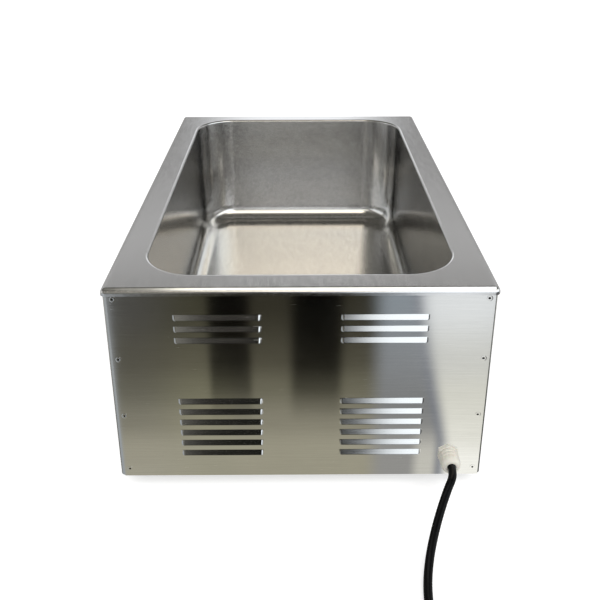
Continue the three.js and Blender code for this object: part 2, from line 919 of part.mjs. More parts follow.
thermostat_screws.forEach((x, k) => {
  const seat = front_face - fit_gap;
  const screw = turned([
    [0, thermostat_front + screw_tail],
    [screw_radius, thermostat_front + screw_tail],
    [screw_radius, seat],
    [screw_head_radius, seat],
    [screw_head_radius, seat - screw_head_height / 2],
    [screw_head_radius - screw_head_height / 2, seat - screw_head_height],
    [0, seat - screw_head_height],
  ].reverse(), small_sides);
  piece(`thermostat_screw_${k + 1}`, screw, zinc_steel(), x, 0, control_height);
});

// Control knob: skirt, fluted grip with a rounded face, and a D-shaped socket

function knob_geometry() {
  const face = knob_front;
  const grip_base = knob_back - knob_skirt;
  const body = turned([
    [0, face],
    [knob_grip_radius - 2 * knob_edge, face],
    [knob_grip_radius - knob_edge / 2, face + knob_edge / 2],
    [knob_grip_radius, face + 2 * knob_edge],
    [knob_grip_radius + flute_depth, grip_base - knob_edge / 2],
    [knob_grip_radius + knob_edge, grip_base],
    [knob_radius - knob_edge / 2, grip_base],
    [knob_radius, grip_base + knob_edge / 2],
    [knob_radius, knob_back],
    [0, knob_back],
  ]);
  body.translate(thermostat_x, 0, control_height);
  const tools = [];
  const centre_radius = knob_grip_radius + flute_radius - flute_depth;
  for (let k = 0; k < knob_flutes; k += 1) {
    const angle = (k + 1 / 2) * 2 * Math.PI / knob_flutes;
    const x = thermostat_x + centre_radius * Math.cos(angle);
    const z = control_height + centre_radius * Math.sin(angle);
    tools.push(rod_y(flute_radius, x, z, face - overrun, grip_base - knob_edge));
  }
  const pocket = knob_radius - knob_edge;
  const hub = shaft_radius + knob_edge;
  const hollow = turned([
    [hub, knob_back - knob_skirt / 2],
    [pocket, knob_back - knob_skirt / 2],
    [pocket, knob_back + overrun],
    [hub, knob_back + overrun],
    [hub, knob_back - knob_skirt / 2],
  ]);
  hollow.translate(thermostat_x, 0, control_height);
  tools.push(hollow);
  tools.push(d_rod(shaft_radius + fit_gap, shaft_flat, knob_back - knob_socket, knob_back + overrun));
  return cut(body, ...tools);
}

piece('control_knob', knob_geometry(), black_plastic());

// Pilot lamp: bezel and barrel, lens, and the nut behind the front

function lamp_body_geometry() {
  const seat = front_face - fit_gap;
  const well = lens_radius + fit_gap;
  const rear = front_back + lamp_depth;
  const barrel = turned([
    [0, seat - lamp_bezel / 2],
    [well, seat - lamp_bezel / 2],
    [well, seat - lamp_bezel],
    [lamp_bezel_radius - lamp_bezel / 2, seat - lamp_bezel],
    [lamp_bezel_radius, seat - lamp_bezel / 2],
    [lamp_bezel_radius, seat],
    [lamp_radius, seat],
    [lamp_radius, rear],
    [0, rear],
  ]);
  const tabs = [-1, 1].map((side) => {
    const x = side * lamp_radius / 2;
    const half = tab_thickness / 2;
    return slab(x - half, x + half, rear - overrun, rear + tab_length / 2, -tab_width / 4, tab_width / 4);
  });
  return joined(barrel, ...tabs);
}

piece('pilot_lamp_body', lamp_body_geometry(), black_plastic(), lamp_x, 0, control_height);

function lens_geometry() {
  const back = front_face - fit_gap - lamp_bezel / 2 - fit_gap;
  const curve = new THREE.EllipseCurve(0, 0, lens_radius, lens_rise, 0, Math.PI / 2);
  const dome = curve.getPoints(2 * bend_steps).slice(0, -1);
  return turned([
    [0, back - lamp_bezel / 2 - lens_rise],
    ...dome.reverse().map((point) => [point.x, back - lamp_bezel / 2 - point.y]),
    [lens_radius, back],
    [0, back],
  ]);
}

piece('pilot_lamp_lens', lens_geometry(), material(0xc8481c, 0.15, 0), lamp_x, 0, control_height);

const lamp_nut_front = front_back + fit_gap;
const lamp_nut = cut(
  hexagon_prism(lamp_nut_across, lamp_nut_front, lamp_nut_front + lamp_nut_thickness),
  turned([
    [0, lamp_nut_front - overrun],
    [lamp_radius + fit_gap, lamp_nut_front - overrun],
    [lamp_radius + fit_gap, lamp_nut_front + lamp_nut_thickness + overrun],
    [0, lamp_nut_front + lamp_nut_thickness + overrun],
  ]),
);
piece('pilot_lamp_nut', lamp_nut, black_plastic(), lamp_x, 0, control_height);

// Sensing bulb under the well floor, with its capillary back to the thermostat

function bulb_geometry() {
  const bulb_front = strap_first + bulb_setback;
  const bulb_rear = bulb_front + bulb_length;
  const bulb_z = well_under - fit_gap - bulb_radius;
  const under_element = element_z - element_radius - strap_thickness - 2 * capillary_radius;
  const bulb = tube(vectors([
    [0, bulb_rear, bulb_z],
    [0, bulb_front, bulb_z],
  ]), bulb_radius, small_sides);
  const exit_y = thermostat_rear + fit_gap;
  const exit_x = thermostat_x - thermostat_width / 2 + 2 * capillary_radius;
  const exit_z = control_height - thermostat_tall / 4;
  const corners = vectors([
    [0, bulb_front + overrun, bulb_z],
    [0, strap_first - strap_width / 2, bulb_z],
    [0, element_front_end + element_run_pitch / 2, under_element],
    [0, exit_y + front_lane, under_element],
    [exit_x, exit_y + front_lane / 2, exit_z],
    [exit_x, exit_y, exit_z],
  ]);
  return joined(bulb, tube(rounded_path(corners, lead_bend), capillary_radius, wire_sides));
}

piece('thermostat_bulb', bulb_geometry(), brass());

// Cable gland: body, locknut, seal and fluted dome nut, drawn along +Y from the panel face

const hex_near = rear_face + fit_gap;
const hex_far = hex_near + gland_hex_thickness;
const neck_end = hex_far + gland_neck_length;
const gland_mouth = rear_face + gland_reach;

function gland_body_geometry() {
  const inside = panel_back - gland_thread_length;
  const barrel = turned([
    [gland_bore_radius, inside],
    [gland_thread_radius, inside],
    [gland_thread_radius, hex_near + overrun],
    [gland_neck_radius, hex_near + overrun],
    [gland_neck_radius, neck_end],
    [gland_bore_radius, neck_end],
    [gland_bore_radius, inside],
  ]);
  const hexagon = cut(hexagon_prism(gland_hex_across, hex_near, hex_far), turned([
    [0, hex_near - overrun],
    [gland_neck_radius - overrun / 2, hex_near - overrun],
    [gland_neck_radius - overrun / 2, hex_far + overrun],
    [0, hex_far + overrun],
  ]));
  return joined(barrel, hexagon);
}

piece('gland_body', gland_body_geometry(), ivory_nylon(), gland_x, 0, control_height);

function gland_nut_geometry() {
  const start = hex_far + fit_gap;
  const shoulder = start + gland_nut_straight;
  const dome_drop = gland_nut_radius - gland_mouth_radius;
  const curve = new THREE.EllipseCurve(0, 0, dome_drop, gland_mouth - shoulder, 0, Math.PI / 2);
  const dome = curve.getPoints(2 * bend_steps).map((point) => [
    gland_mouth_radius + point.x,
    shoulder + point.y,
  ]);
  const clear = gland_neck_radius + fit_gap;
  const mouth_bore = cord_radius + fit_gap;
  const seat = neck_end + fit_gap;
  const nut = turned([
    [clear, start],
    [gland_nut_radius, start],
    ...dome,
    [mouth_bore, gland_mouth],
    [mouth_bore, seat + seal_length / 2],
    [clear, seat],
    [clear, start],
  ]);
  const groove = gland_flute_depth * 4;
  const reach = gland_nut_radius + groove - gland_flute_depth;
  const flutes = [];
  for (let k = 0; k < gland_flutes; k += 1) {
    const angle = k * 2 * Math.PI / gland_flutes;
    const x = reach * Math.cos(angle);
    const z = reach * Math.sin(angle);
    flutes.push(rod_y(groove, x, z, start - overrun, shoulder, small_sides / 2));
  }
  return cut(nut, ...flutes);
}

piece('gland_dome_nut', gland_nut_geometry(), ivory_nylon(), gland_x, 0, control_height);

const seal_far = neck_end - fit_gap;
const seal_geometry = turned([
  [cord_radius + fit_gap, seal_far - seal_length],
  [gland_bore_radius - fit_gap, seal_far - seal_length],
  [gland_bore_radius - fit_gap, seal_far],
  [cord_radius + fit_gap, seal_far],
  [cord_radius + fit_gap, seal_far - seal_length],
]);
piece('gland_seal', seal_geometry, black_rubber(), gland_x, 0, control_height);

const locknut_far = panel_back - fit_gap;
const locknut = cut(
  hexagon_prism(gland_hex_across, locknut_far - locknut_thickness, locknut_far),
  turned([
    [0, locknut_far - locknut_thickness - overrun],
    [gland_thread_radius + fit_gap, locknut_far - locknut_thickness - overrun],
    [gland_thread_radius + fit_gap, locknut_far + overrun],
    [0, locknut_far + overrun],
  ]),
);
piece('gland_locknut', locknut, ivory_nylon(), gland_x, 0, control_height);

// Supply cord: the sheathed end held in the gland, the run to the coil, and the coil

const sheath_end = panel_back - sheath_inside;
const cord_section_sides = 12;

const tail = rod_y(cord_radius, gland_x, control_height, sheath_end, gland_mouth, cord_section_sides);
piece('cord_tail', tail, black_rubber());

const cord_exit = new THREE.Vector3(gland_x, gland_mouth + fit_gap, control_height);
const coil_low_z = tie_thickness + fit_gap + cord_radius;
const coil_high_z = coil_low_z + coil_pitch;
const coil_start_x = -108;
const coil_start_y = 497;

// The run's points, chosen by hand: out of the gland, down to the floor, then on to the coil.
const cord_points = [
  [cord_exit.x, cord_exit.y, control_height],
  [-147.65, 309.5, 41.1],
  [-146.95, 315, 41.1],
  [-145.6, 319.9, 41],
  [-143.6, 324.6, 40.7],
  [-141.1, 329.1, 39.7],
  [-138.6, 333.6, 38],
  [-136, 338.3, 35.6],
  [-131, 347.6, 30],
  [-126.2, 357.2, 24.1],
  [-121.7, 367.4, 18.2],
  [-117.5, 378.4, 12.8],
  [-113.9, 390.2, 8.5],
  [-111, 402.8, 5.6],
  [-109, 416, 4.3],
  [-107.9, 430, 4.05],
  [-107.5, 446, 4.1],
  [-107.6, 463, 4.5],
  [-107.9, 480, 5.1],
  [coil_start_x, coil_start_y, coil_low_z],
];

const run_curve = new THREE.CatmullRomCurve3(vectors(cord_points), false, 'centripetal');
const run_length = run_curve.getLength();
const run_steps = Math.round(run_length / (2 * cord_radius) / 1.5);
const section_points = [];
for (let k = 0; k < cord_section_sides; k += 1) {
  const angle = (k + 1 / 2) * 2 * Math.PI / cord_section_sides;
  section_points.push(new THREE.Vector2(cord_radius * Math.cos(angle), cord_radius * Math.sin(angle)));
}
const run_geometry = new THREE.ExtrudeGeometry(new THREE.Shape(section_points), {
  steps: run_steps,
  extrudePath: run_curve,
  bevelEnabled: false,
});
piece('cord_run', run_geometry, black_rubber());

// The coil winds clockwise from above: in on the floor, up a layer in half a turn, and out again.
const coil_loop_steps = 24;
const coil_turns = coil_turns_in + coil_climb_turns + coil_turns_out;
const coil_centre = new THREE.Vector2(coil_start_x + coil_outer, coil_start_y + fit_gap + 2 * cord_radius);

function coil_point(turns) {
  const inner = coil_outer - coil_pitch * coil_turns_in;
  const climb = Math.min(Math.max(turns - coil_turns_in, 0), coil_climb_turns);
  const back = Math.max(turns - coil_turns_in - coil_climb_turns, 0);
  const share = climb / coil_climb_turns;
  const way_in = Math.min(turns, coil_turns_in);
  const dip = coil_pitch * climb * (share - 1);
  const radius = coil_outer - coil_pitch * way_in + dip + coil_pitch * back;
  const angle = Math.PI - 2 * Math.PI * turns;
  const rise = (1 - Math.cos(Math.PI * share)) / 2;
  return new THREE.Vector3(
    coil_centre.x + Math.max(radius, inner + dip) * Math.cos(angle),
    coil_centre.y + Math.max(radius, inner + dip) * Math.sin(angle),
    coil_low_z + coil_pitch * rise,
  );
}

function coil_path() {
  const lead_in = 2 * cord_radius;
  const points = [new THREE.Vector3(coil_start_x, coil_start_y + fit_gap, coil_low_z)];
  const steps = Math.round(coil_turns * coil_loop_steps);
  for (let k = 0; k <= steps; k += 1) {
    points.push(coil_point(k * coil_turns / steps));
  }
  const last = points[points.length - 1];
  points.push(new THREE.Vector3(last.x + lead_in, last.y, last.z));
  return points;
}

function least_gap(points, radius) {
  let least = Infinity;
  const travelled = [0];
  for (let k = 1; k < points.length; k += 1) {
    travelled.push(travelled[k - 1] + points[k].distanceTo(points[k - 1]));
  }
  const segment = new THREE.Line3();
  const nearest = new THREE.Vector3();
  for (let i = 0; i < points.length; i += 1) {
    for (let j = 0; j < points.length - 1; j += 1) {
      if (Math.abs(travelled[i] - travelled[j]) > 8 * radius) {
        segment.set(points[j], points[j + 1]);
        segment.closestPointToPoint(points[i], true, nearest);
        least = Math.min(least, nearest.distanceTo(points[i]));
      }
    }
  }
  return least - 2 * radius;
}

const coil_line = coil_path();
let coil_length = 0;
for (let k = 1; k < coil_line.length; k += 1) {
  coil_length += coil_line[k].distanceTo(coil_line[k - 1]);
}
piece('cord_coil', tube(coil_line, cord_radius, 6), black_rubber());
console.log(`least gap of the coil to itself: ${least_gap(coil_line, cord_radius).toFixed(2)} mm`);
console.log(`cord: run ${run_length.toFixed(0)} mm, coil ${coil_length.toFixed(0)} mm`);

// Strap tie round the bundle of turns

function tie_geometry() {
  let low = Infinity;
  let high = 0;
  for (const point of coil_line) {
    const offset = new THREE.Vector2(point.x, point.y).sub(coil_centre);
    const turned_away = Math.cos(offset.angle() - tie_angle);
    const reach = offset.length();
    if (turned_away * reach > 0 && Math.abs(Math.sin(offset.angle() - tie_angle)) * reach < tie_width) {
      low = Math.min(low, turned_away * reach);
      high = Math.max(high, reach);
    }
  }
  const clear = cord_radius + fit_gap;
  const corner = clear / 2;
  const inner_low = low - clear;
  const inner_high = high + clear;
  const bottom = coil_low_z - clear;
  const top = coil_high_z + clear;
  const box = (grow) => {
    const shape = new THREE.Shape();
    const r = corner + grow;
    const x0 = inner_low - grow;
    const x1 = inner_high + grow;
    const z0 = bottom - grow;
    const z1 = top + grow;
    shape.absarc(x1 - r, z1 - r, r, 0, Math.PI / 2, false);
    shape.absarc(x0 + r, z1 - r, r, Math.PI / 2, Math.PI, false);
    shape.absarc(x0 + r, z0 + r, r, Math.PI, 3 * Math.PI / 2, false);
    shape.absarc(x1 - r, z0 + r, r, 3 * Math.PI / 2, 2 * Math.PI, false);
    return shape;
  };
  const band = box(tie_thickness);
  band.holes.push(box(0));
  const geometry = extruded(band, tie_width, bend_steps);
  geometry.rotateX(Math.PI / 2);
  geometry.translate(0, tie_width / 2, 0);
  geometry.rotateZ(tie_angle);
  geometry.translate(coil_centre.x, coil_centre.y, 0);
  return geometry;
}

piece('cord_tie', tie_geometry(), black_rubber());

// Moulded three-pin plug lying beyond the coil, along +X

const plug_start = coil_line[coil_line.length - 1];
const relief_end = plug_start.x + fit_gap + plug_relief;
const plug_face = relief_end + plug_length;

function along_x(geometry) {
  geometry.rotateZ(-Math.PI / 2);
  geometry.translate(0, plug_start.y, plug_start.z);
  return geometry;
}

function plug_geometry() {
  const relief = along_x(turned([
    [0, plug_start.x + fit_gap],
    [cord_radius + fit_gap, plug_start.x + fit_gap],
    [plug_relief_radius, relief_end],
    [plug_relief_radius, relief_end + overrun],
    [0, relief_end + overrun],
  ], small_sides));
  const half_height = plug_start.z;
  const half_width = plug_width / 2;
  const section = (share, x) => {
    const ring = [];
    const half_y = half_width * share;
    const half_z = half_height * share;
    const r = plug_corner * share;
    for (let quarter = 0; quarter < 4; quarter += 1) {
      for (let k = 0; k <= bend_steps; k += 1) {
        const angle = (quarter + k / bend_steps) * Math.PI / 2;
        const side_y = quarter === 0 || quarter === 3 ? 1 : -1;
        const side_z = quarter < 2 ? 1 : -1;
        ring.push(new THREE.Vector3(
          x,
          plug_start.y + side_y * (half_y - r) + r * Math.cos(angle),
          plug_start.z + side_z * (half_z - r) + r * Math.sin(angle),
        ));
      }
    }
    return ring;
  };
  const neck_share = 0.62;
  const shoulder_share = 0.9;
  const rings = [
    section(neck_share, relief_end),
    section(shoulder_share, relief_end + plug_length / 4),
    section(1, relief_end + plug_length / 2),
    section(1, plug_face - plug_corner / 4),
    section(1 - plug_corner / plug_length / 4, plug_face),
  ];
  const body = joined(loft(rings.reverse()), relief);
  const seat = plug_face - blade_seat - fit_gap;
  const seats = blade_places().map(([y, z]) => slab(
    seat, plug_face + overrun,
    y - blade_thickness / 2 - fit_gap, y + blade_thickness / 2 + fit_gap,
    z - blade_height / 2 - fit_gap, z + blade_height / 2 + fit_gap,
  ));
  const [pin_y, pin_z] = earth_pin_place();
  seats.push(rod_x(earth_pin_radius + fit_gap, pin_y, pin_z, seat, plug_face + overrun));
  return cut(body, ...seats);
}

function rod_x(radius, y, z, low_x, high_x, sides = small_sides) {
  const geometry = new THREE.CylinderGeometry(radius, radius, high_x - low_x, sides);
  geometry.rotateZ(-Math.PI / 2);
  geometry.translate((low_x + high_x) / 2, y, z);
  return geometry;
}

function blade_places() {
  return [-1, 1].map((side) => [plug_start.y + side * blade_spacing / 2, plug_start.z + blade_rise]);
}

function earth_pin_place() {
  return [plug_start.y, plug_start.z - earth_pin_drop];
}

piece('plug_body', plug_geometry(), black_rubber());
blade_places().forEach(([y, z], k) => {
  const blade = slab(plug_face - blade_seat, plug_face + blade_length,
    y - blade_thickness / 2, y + blade_thickness / 2, z - blade_height / 2, z + blade_height / 2);
  piece(`plug_blade_${k + 1}`, blade, brass());
});
const [pin_y, pin_z] = earth_pin_place();
const earth_pin = rod_x(earth_pin_radius, pin_y, pin_z, plug_face - blade_seat, plug_face + earth_pin_length);
piece('plug_earth_pin', earth_pin, brass());

// Terminal block on the base plate, and the earth nut on its stud

const pole_places = [1, -1].map((side) => block_x + side * block_pole_pitch / 2);
const block_bottom = base_top + fit_gap;
const pole_level = block_bottom + block_height / 2;

function block_geometry() {
  const low_y = block_y - block_depth / 2;
  const high_y = block_y + block_depth / 2;
  const half = block_width / 2;
  const top = block_bottom + block_height;
  const body = slab(block_x - half, block_x + half, low_y, high_y, block_bottom, top);
  const bore = block_hole_radius;
  const sides = small_sides / 2;
  const holes = [];
  for (const x of pole_places) {
    holes.push(rod_y(bore, x, pole_level, low_y - overrun, low_y + block_hole_depth, sides));
    holes.push(rod_y(bore, x, pole_level, high_y - block_hole_depth, high_y + overrun, sides));
    holes.push(rod_z(bore, x, block_y, pole_level + bore, top + overrun, sides));
  }
  return cut(body, ...holes);
}

piece('terminal_block', block_geometry(), ceramic());

const nut_low = base_top + 2 * fit_gap + 2 * lead_radius;
const earth_nut = cut(
  hexagon_prism(earth_nut_across, 0, earth_nut_height).rotateX(Math.PI / 2),
  rod_z(stud_radius + fit_gap, 0, 0, -overrun, earth_nut_height + overrun),
);
piece('earth_nut', earth_nut, brass(), earth_x, earth_y, nut_low);

// Wires: each one rounded at its corners, ending just clear of what it joins

function lead(name, corners, colour) {
  const path = rounded_path(vectors(corners), lead_bend);
  piece(name, tube(path, lead_radius, wire_sides), material(colour, 0.6, 0));
}

const core_start = sheath_end - fit_gap;
const block_rear = block_y + block_depth / 2 + fit_gap;
const block_front = block_y - block_depth / 2 - fit_gap;
const core_turn = block_rear + lead_bend;
const tab_end = thermostat_rear + tab_length + fit_gap;
const pin_end = element_front - element_pin - fit_gap;
const pin_side = element_front - element_pin + 2 * lead_radius;
const pin_lane = pin_end - lane_spacing;
const tab_lane = pin_lane - lane_spacing;
const lamp_rear = front_back + lamp_depth + tab_length / 2 + fit_gap;
const [neutral_pole, live_pole] = pole_places;

lead('lead_supply_live', [
  [gland_x - core_spread, core_start, control_height],
  [gland_x - core_spread, core_start - lead_bend, control_height],
  [live_pole, core_turn, pole_level],
  [live_pole, block_rear, pole_level],
], 0x1b1b1d);
lead('lead_supply_neutral', [
  [gland_x + core_spread, core_start, control_height],
  [gland_x + core_spread, core_start - lead_bend, control_height],
  [neutral_pole, core_turn, pole_level],
  [neutral_pole, block_rear, pole_level],
], 0xe6e4dc);
lead('lead_earth', [
  [gland_x, core_start, control_height - core_spread],
  [gland_x, core_start - lead_bend / 2, control_height - core_spread],
  [gland_x - lead_bend, earth_y, lead_floor + lead_bend],
  [gland_x - lead_bend, earth_y, lead_floor],
  [earth_x + stud_radius + fit_gap, earth_y, lead_floor],
], 0x2e8b3d);
lead('lead_live', [
  [live_pole, block_front, pole_level],
  [live_pole, block_front - lead_bend, lead_lane],
  [live_pole, tab_lane, lead_lane],
  [tab_places[0], tab_lane, lead_lane],
  [tab_places[0], tab_lane, tab_level],
  [tab_places[0], tab_end, tab_level],
], 0x1b1b1d);
lead('lead_neutral', [
  [neutral_pole, block_front, pole_level],
  [neutral_pole, block_front - lead_bend, lead_lane],
  [neutral_pole, pin_lane, lead_lane],
  [run_places[0], pin_lane, lead_lane],
  [run_places[0], pin_lane, element_z],
  [run_places[0], pin_end, element_z],
], 0xe6e4dc);
lead('lead_element', [
  [tab_places[2], tab_end, tab_level],
  [tab_places[2], tab_lane, tab_level],
  [run_places[3], pin_lane, element_z],
  [run_places[3], pin_end, element_z],
], 0xb5352b);
lead('lead_lamp_live', [
  [tab_places[1], tab_end, tab_level],
  [tab_places[1], tab_lane, tab_level],
  [tab_places[1], tab_lane, tab_level + lane_spacing],
  [lamp_x + lamp_radius / 2, tab_lane, tab_level + lane_spacing],
  [lamp_x + lamp_radius / 2, tab_lane, control_height],
  [lamp_x + lamp_radius / 2, lamp_rear, control_height],
], 0xb5352b);
lead('lead_lamp_neutral', [
  [lamp_x - lamp_radius / 2, lamp_rear, control_height],
  [lamp_x - lamp_radius / 2, lamp_rear + lane_spacing, control_height],
  [run_places[0] + 2 * lane_spacing, lamp_rear + lane_spacing, control_height],
  [run_places[0] + 2 * lane_spacing, pin_side, element_z],
  [run_places[0] + element_pin_radius + fit_gap, pin_side, element_z],
], 0xe6e4dc);

export default warmer;
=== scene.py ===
import json
import math

import bmesh
import bpy
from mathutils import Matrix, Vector


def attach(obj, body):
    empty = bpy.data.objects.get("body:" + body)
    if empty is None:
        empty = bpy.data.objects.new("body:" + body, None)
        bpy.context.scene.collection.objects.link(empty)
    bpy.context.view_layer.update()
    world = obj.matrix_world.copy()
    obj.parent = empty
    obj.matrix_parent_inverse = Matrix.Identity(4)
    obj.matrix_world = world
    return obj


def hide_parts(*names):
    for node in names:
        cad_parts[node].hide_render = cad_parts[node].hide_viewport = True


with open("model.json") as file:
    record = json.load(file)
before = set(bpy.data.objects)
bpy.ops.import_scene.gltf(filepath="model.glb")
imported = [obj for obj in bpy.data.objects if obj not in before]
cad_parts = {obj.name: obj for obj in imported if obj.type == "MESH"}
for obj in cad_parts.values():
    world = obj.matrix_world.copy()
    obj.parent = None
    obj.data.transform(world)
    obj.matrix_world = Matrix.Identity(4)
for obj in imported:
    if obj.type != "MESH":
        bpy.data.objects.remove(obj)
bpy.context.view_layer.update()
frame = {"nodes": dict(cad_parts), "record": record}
NODES = frame["nodes"]
MM = 0.001

# The photograph's camera: place in metres, turn in degrees, and the lens
CAMERA_PLACE = (0.0034821, 0.8920278, 0.5657441)
CAMERA_TURN = (68.08438, 0.07255, 179.66859)
CAMERA_LENS = 45.341
CAMERA_SHIFT_Y = -0.17582

# Sizes of the pressed top and well, in metres
RIM_HALF_X = 184.15 * MM
RIM_HALF_Y = 285.75 * MM
TOP = 228.6 * MM
SHEET = 0.8 * MM
SKIRT = 6.8 * MM
RIM_CORNER = 5.3 * MM
RIM_BEND = 5 * MM
WALL_HALF_X = 152.45 * MM
WALL_HALF_Y = 258.05 * MM
WELL_SHIFT = -2.95 * MM
WELL_CORNER = 50 * MM
WELL_BEND = 2.5 * MM
WELL_FLOOR = 63.6 * MM
WELL_DRAFT = 3 * MM
COVE = 22 * MM

# Sizes of the louvred panel
PANEL_FACE = 283.25 * MM
PANEL_SHIFT = -0.8 * MM
PANEL_HALF = 179.4 * MM
PANEL_LOW = 12.7 * MM
PANEL_HIGH = 223.6 * MM
LOUVRE_LENGTH = 82.4 * MM
LOUVRE_HEIGHT = 5.4 * MM
LOUVRE_LIFT = 2.35 * MM
LOUVRE_RAMP = 2.6 * MM
LOUVRE_PITCH = 12.4 * MM
LOUVRE_COLUMN = 78.5 * MM
UPPER_TOP = 201 * MM
LOWER_TOP = 107.1 * MM
UPPER_ROWS = 3
LOWER_ROWS = 6

# Sizes of the folded body
BODY_HALF = 183.05 * MM
FRONT_FACE = -284.65 * MM
FLANGE_FACE = 282.15 * MM
FOLD = 3.5 * MM
REAR_FLANGE = 20 * MM
BOTTOM_FLANGE = 14 * MM

# Rivets, gland and controls
RIVET_COLUMN = 173.8 * MM
RIVET_HIGH = 217.3 * MM
RIVET_LOW = 21.7 * MM
RIVET_ROWS = 4
RIVET_HEAD = 2.9 * MM
RIVET_HOLE = 1.05 * MM
RIVET_RISE = 0.12 * MM
RIVET_CORE_RISE = 0.06 * MM
CONTROL_Z = 41.1 * MM
GLAND_X = -147.7 * MM
GLAND_HEX = 22 * MM
GLAND_HEX_TRIM = 1.5 * MM
GLAND_RADIUS = 9.8 * MM
GLAND_MOUTH = 306.25 * MM
KNOB_X = 100 * MM
KNOB_BACK = -288.05 * MM
KNOB_FRONT = -308.65 * MM
LAMP_X = 45 * MM
FOOT_X = 144.15 * MM
FOOT_Y = 239.75 * MM


def linked(name, data):
    """A new object in the scene."""
    made = bpy.data.objects.new(name, data)
    bpy.context.scene.collection.objects.link(made)
    return made


def scene_camera():
    data = bpy.data.cameras.new("photo_camera")
    data.sensor_width = 36
    data.sensor_fit = "HORIZONTAL"
    data.lens = CAMERA_LENS
    data.shift_y = CAMERA_SHIFT_Y
    data.clip_start = 0.01
    camera = linked("photo_camera", data)
    camera.location = CAMERA_PLACE
    camera.rotation_euler = [math.radians(angle) for angle in CAMERA_TURN]
    bpy.context.scene.camera = camera


# The cord's free run, in millimetres, out of the gland, down to the floor, then on to the coil
CORD_POINTS = [
    (-147.7, 306.55, 41.1), (-147.65, 309.5, 41.1), (-146.95, 315, 41.1), (-145.6, 319.9, 41),
    (-143.6, 324.6, 40.7), (-141.1, 329.1, 39.7), (-138.6, 333.6, 38), (-136, 338.3, 35.6),
    (-131, 347.6, 30), (-126.2, 357.2, 24.1), (-121.7, 367.4, 18.2), (-117.5, 378.4, 12.8),
    (-113.9, 390.2, 8.5), (-111, 402.8, 5.6), (-109, 416, 4.3), (-107.9, 430, 4.05),
    (-107.5, 446, 4.1), (-107.6, 463, 4.5), (-107.9, 480, 5.1), (-108, 497, 5.3),
]
CORD_RADIUS = 4
COIL_OUTER = 58
COIL_PITCH = 8.9
COIL_TURNS_IN = 2.375
COIL_TURNS_OUT = 2.375
COIL_CLIMB_TURNS = 0.5
COIL_LOW_Z = 5.3
COIL_START_GAP = 0.3
COIL_LOOP_STEPS = 24


def coil_points():
    """The coil winds clockwise from above: in on the floor, up a layer in half a turn, and out again."""
    start_x, start_y, _ = CORD_POINTS[-1]
    centre_x = start_x + COIL_OUTER
    centre_y = start_y + COIL_START_GAP + 2 * CORD_RADIUS
    turns = COIL_TURNS_IN + COIL_CLIMB_TURNS + COIL_TURNS_OUT
    steps = round(turns * COIL_LOOP_STEPS)
    points = []
    for k in range(steps + 1):
        turned_by = k * turns / steps
        climb = min(max(turned_by - COIL_TURNS_IN, 0), COIL_CLIMB_TURNS)
        back = max(turned_by - COIL_TURNS_IN - COIL_CLIMB_TURNS, 0)
        share = climb / COIL_CLIMB_TURNS
        dip = COIL_PITCH * climb * (share - 1)
        radius = COIL_OUTER - COIL_PITCH * min(turned_by, COIL_TURNS_IN) + dip + COIL_PITCH * back
        angle = math.pi - 2 * math.pi * turned_by
        rise = COIL_PITCH * (1 - math.cos(math.pi * share)) / 2
        points.append((
            centre_x + radius * math.cos(angle), centre_y + radius * math.sin(angle), COIL_LOW_Z + rise))
    last_x, last_y, last_z = points[-1]
    points.append((last_x + 2 * CORD_RADIUS, last_y, last_z))
    return points


def supply_cord(material):
    points = [Vector(point) * MM for point in CORD_POINTS + coil_points()]
    data = bpy.data.curves.new("supply_cord", "CURVE")
    data.dimensions = "3D"
    data.resolution_u = 6
    data.bevel_depth = CORD_RADIUS * MM
    data.bevel_resolution = 6
    data.use_fill_caps = True
    spline = data.splines.new("BEZIER")
    spline.bezier_points.add(len(points) - 1)
    for knot, place in zip(spline.bezier_points, points):
        knot.co = place
        knot.handle_left_type = knot.handle_right_type = "AUTO"
    data.materials.append(material)
    cord = linked("supply_cord", data)
    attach(cord, "warmer")
    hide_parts("cord_run", "cord_coil")
    return cord


# Node material helpers

# Every finish by its name. Solids that are kept find theirs by their slot's name.
FINISHES = {}


def new_material(name):
    material = bpy.data.materials.new(name)
    material.use_nodes = True
    FINISHES[name] = material
    tree = material.node_tree
    return material, tree, tree.nodes["Principled BSDF"]


def feed(tree, socket, value):
    """Links a socket to another one's output, or sets its value."""
    if isinstance(value, bpy.types.NodeSocket):
        tree.links.new(value, socket)
    else:
        socket.default_value = (*value, 1) if isinstance(value, tuple) and len(value) == 3 else value


def math_node(tree, operation, *values):
    made = tree.nodes.new("ShaderNodeMath")
    made.operation = operation
    for socket, value in zip(made.inputs, values):
        feed(tree, socket, value)
    return made.outputs[0]


def mixed(tree, factor, a, b, blend="MIX"):
    """Two colours mixed by a factor."""
    made = tree.nodes.new("ShaderNodeMix")
    made.data_type = "RGBA"
    made.blend_type = blend
    for place, value in ((0, factor), (6, a), (7, b)):
        feed(tree, made.inputs[place], value)
    return made.outputs[2]


def ramp(tree, factor, stops):
    made = tree.nodes.new("ShaderNodeValToRGB")
    made.color_ramp.interpolation = "EASE"
    elements = made.color_ramp.elements
    while len(elements) < len(stops):
        elements.new(1)
    for element, (place, colour) in zip(elements, stops):
        element.position = place
        element.color = (*colour, 1)
    tree.links.new(factor, made.inputs[0])
    return made.outputs[0]


def to_range(tree, value, low, high, from_low=0.3, from_high=0.7, soft=False):
    made = tree.nodes.new("ShaderNodeMapRange")
    made.interpolation_type = "SMOOTHSTEP" if soft else "LINEAR"
    for name, setting in (("From Min", from_low), ("From Max", from_high), ("To Min", low), ("To Max", high)):
        made.inputs[name].default_value = setting
    tree.links.new(value, made.inputs["Value"])
    return made.outputs[0]


def soft_step(tree, value, low, high):
    """0 where the value is at low, 1 where it is at high, eased between."""
    if low < high:
        return to_range(tree, value, 0, 1, low, high, soft=True)
    return to_range(tree, value, 1, 0, high, low, soft=True)


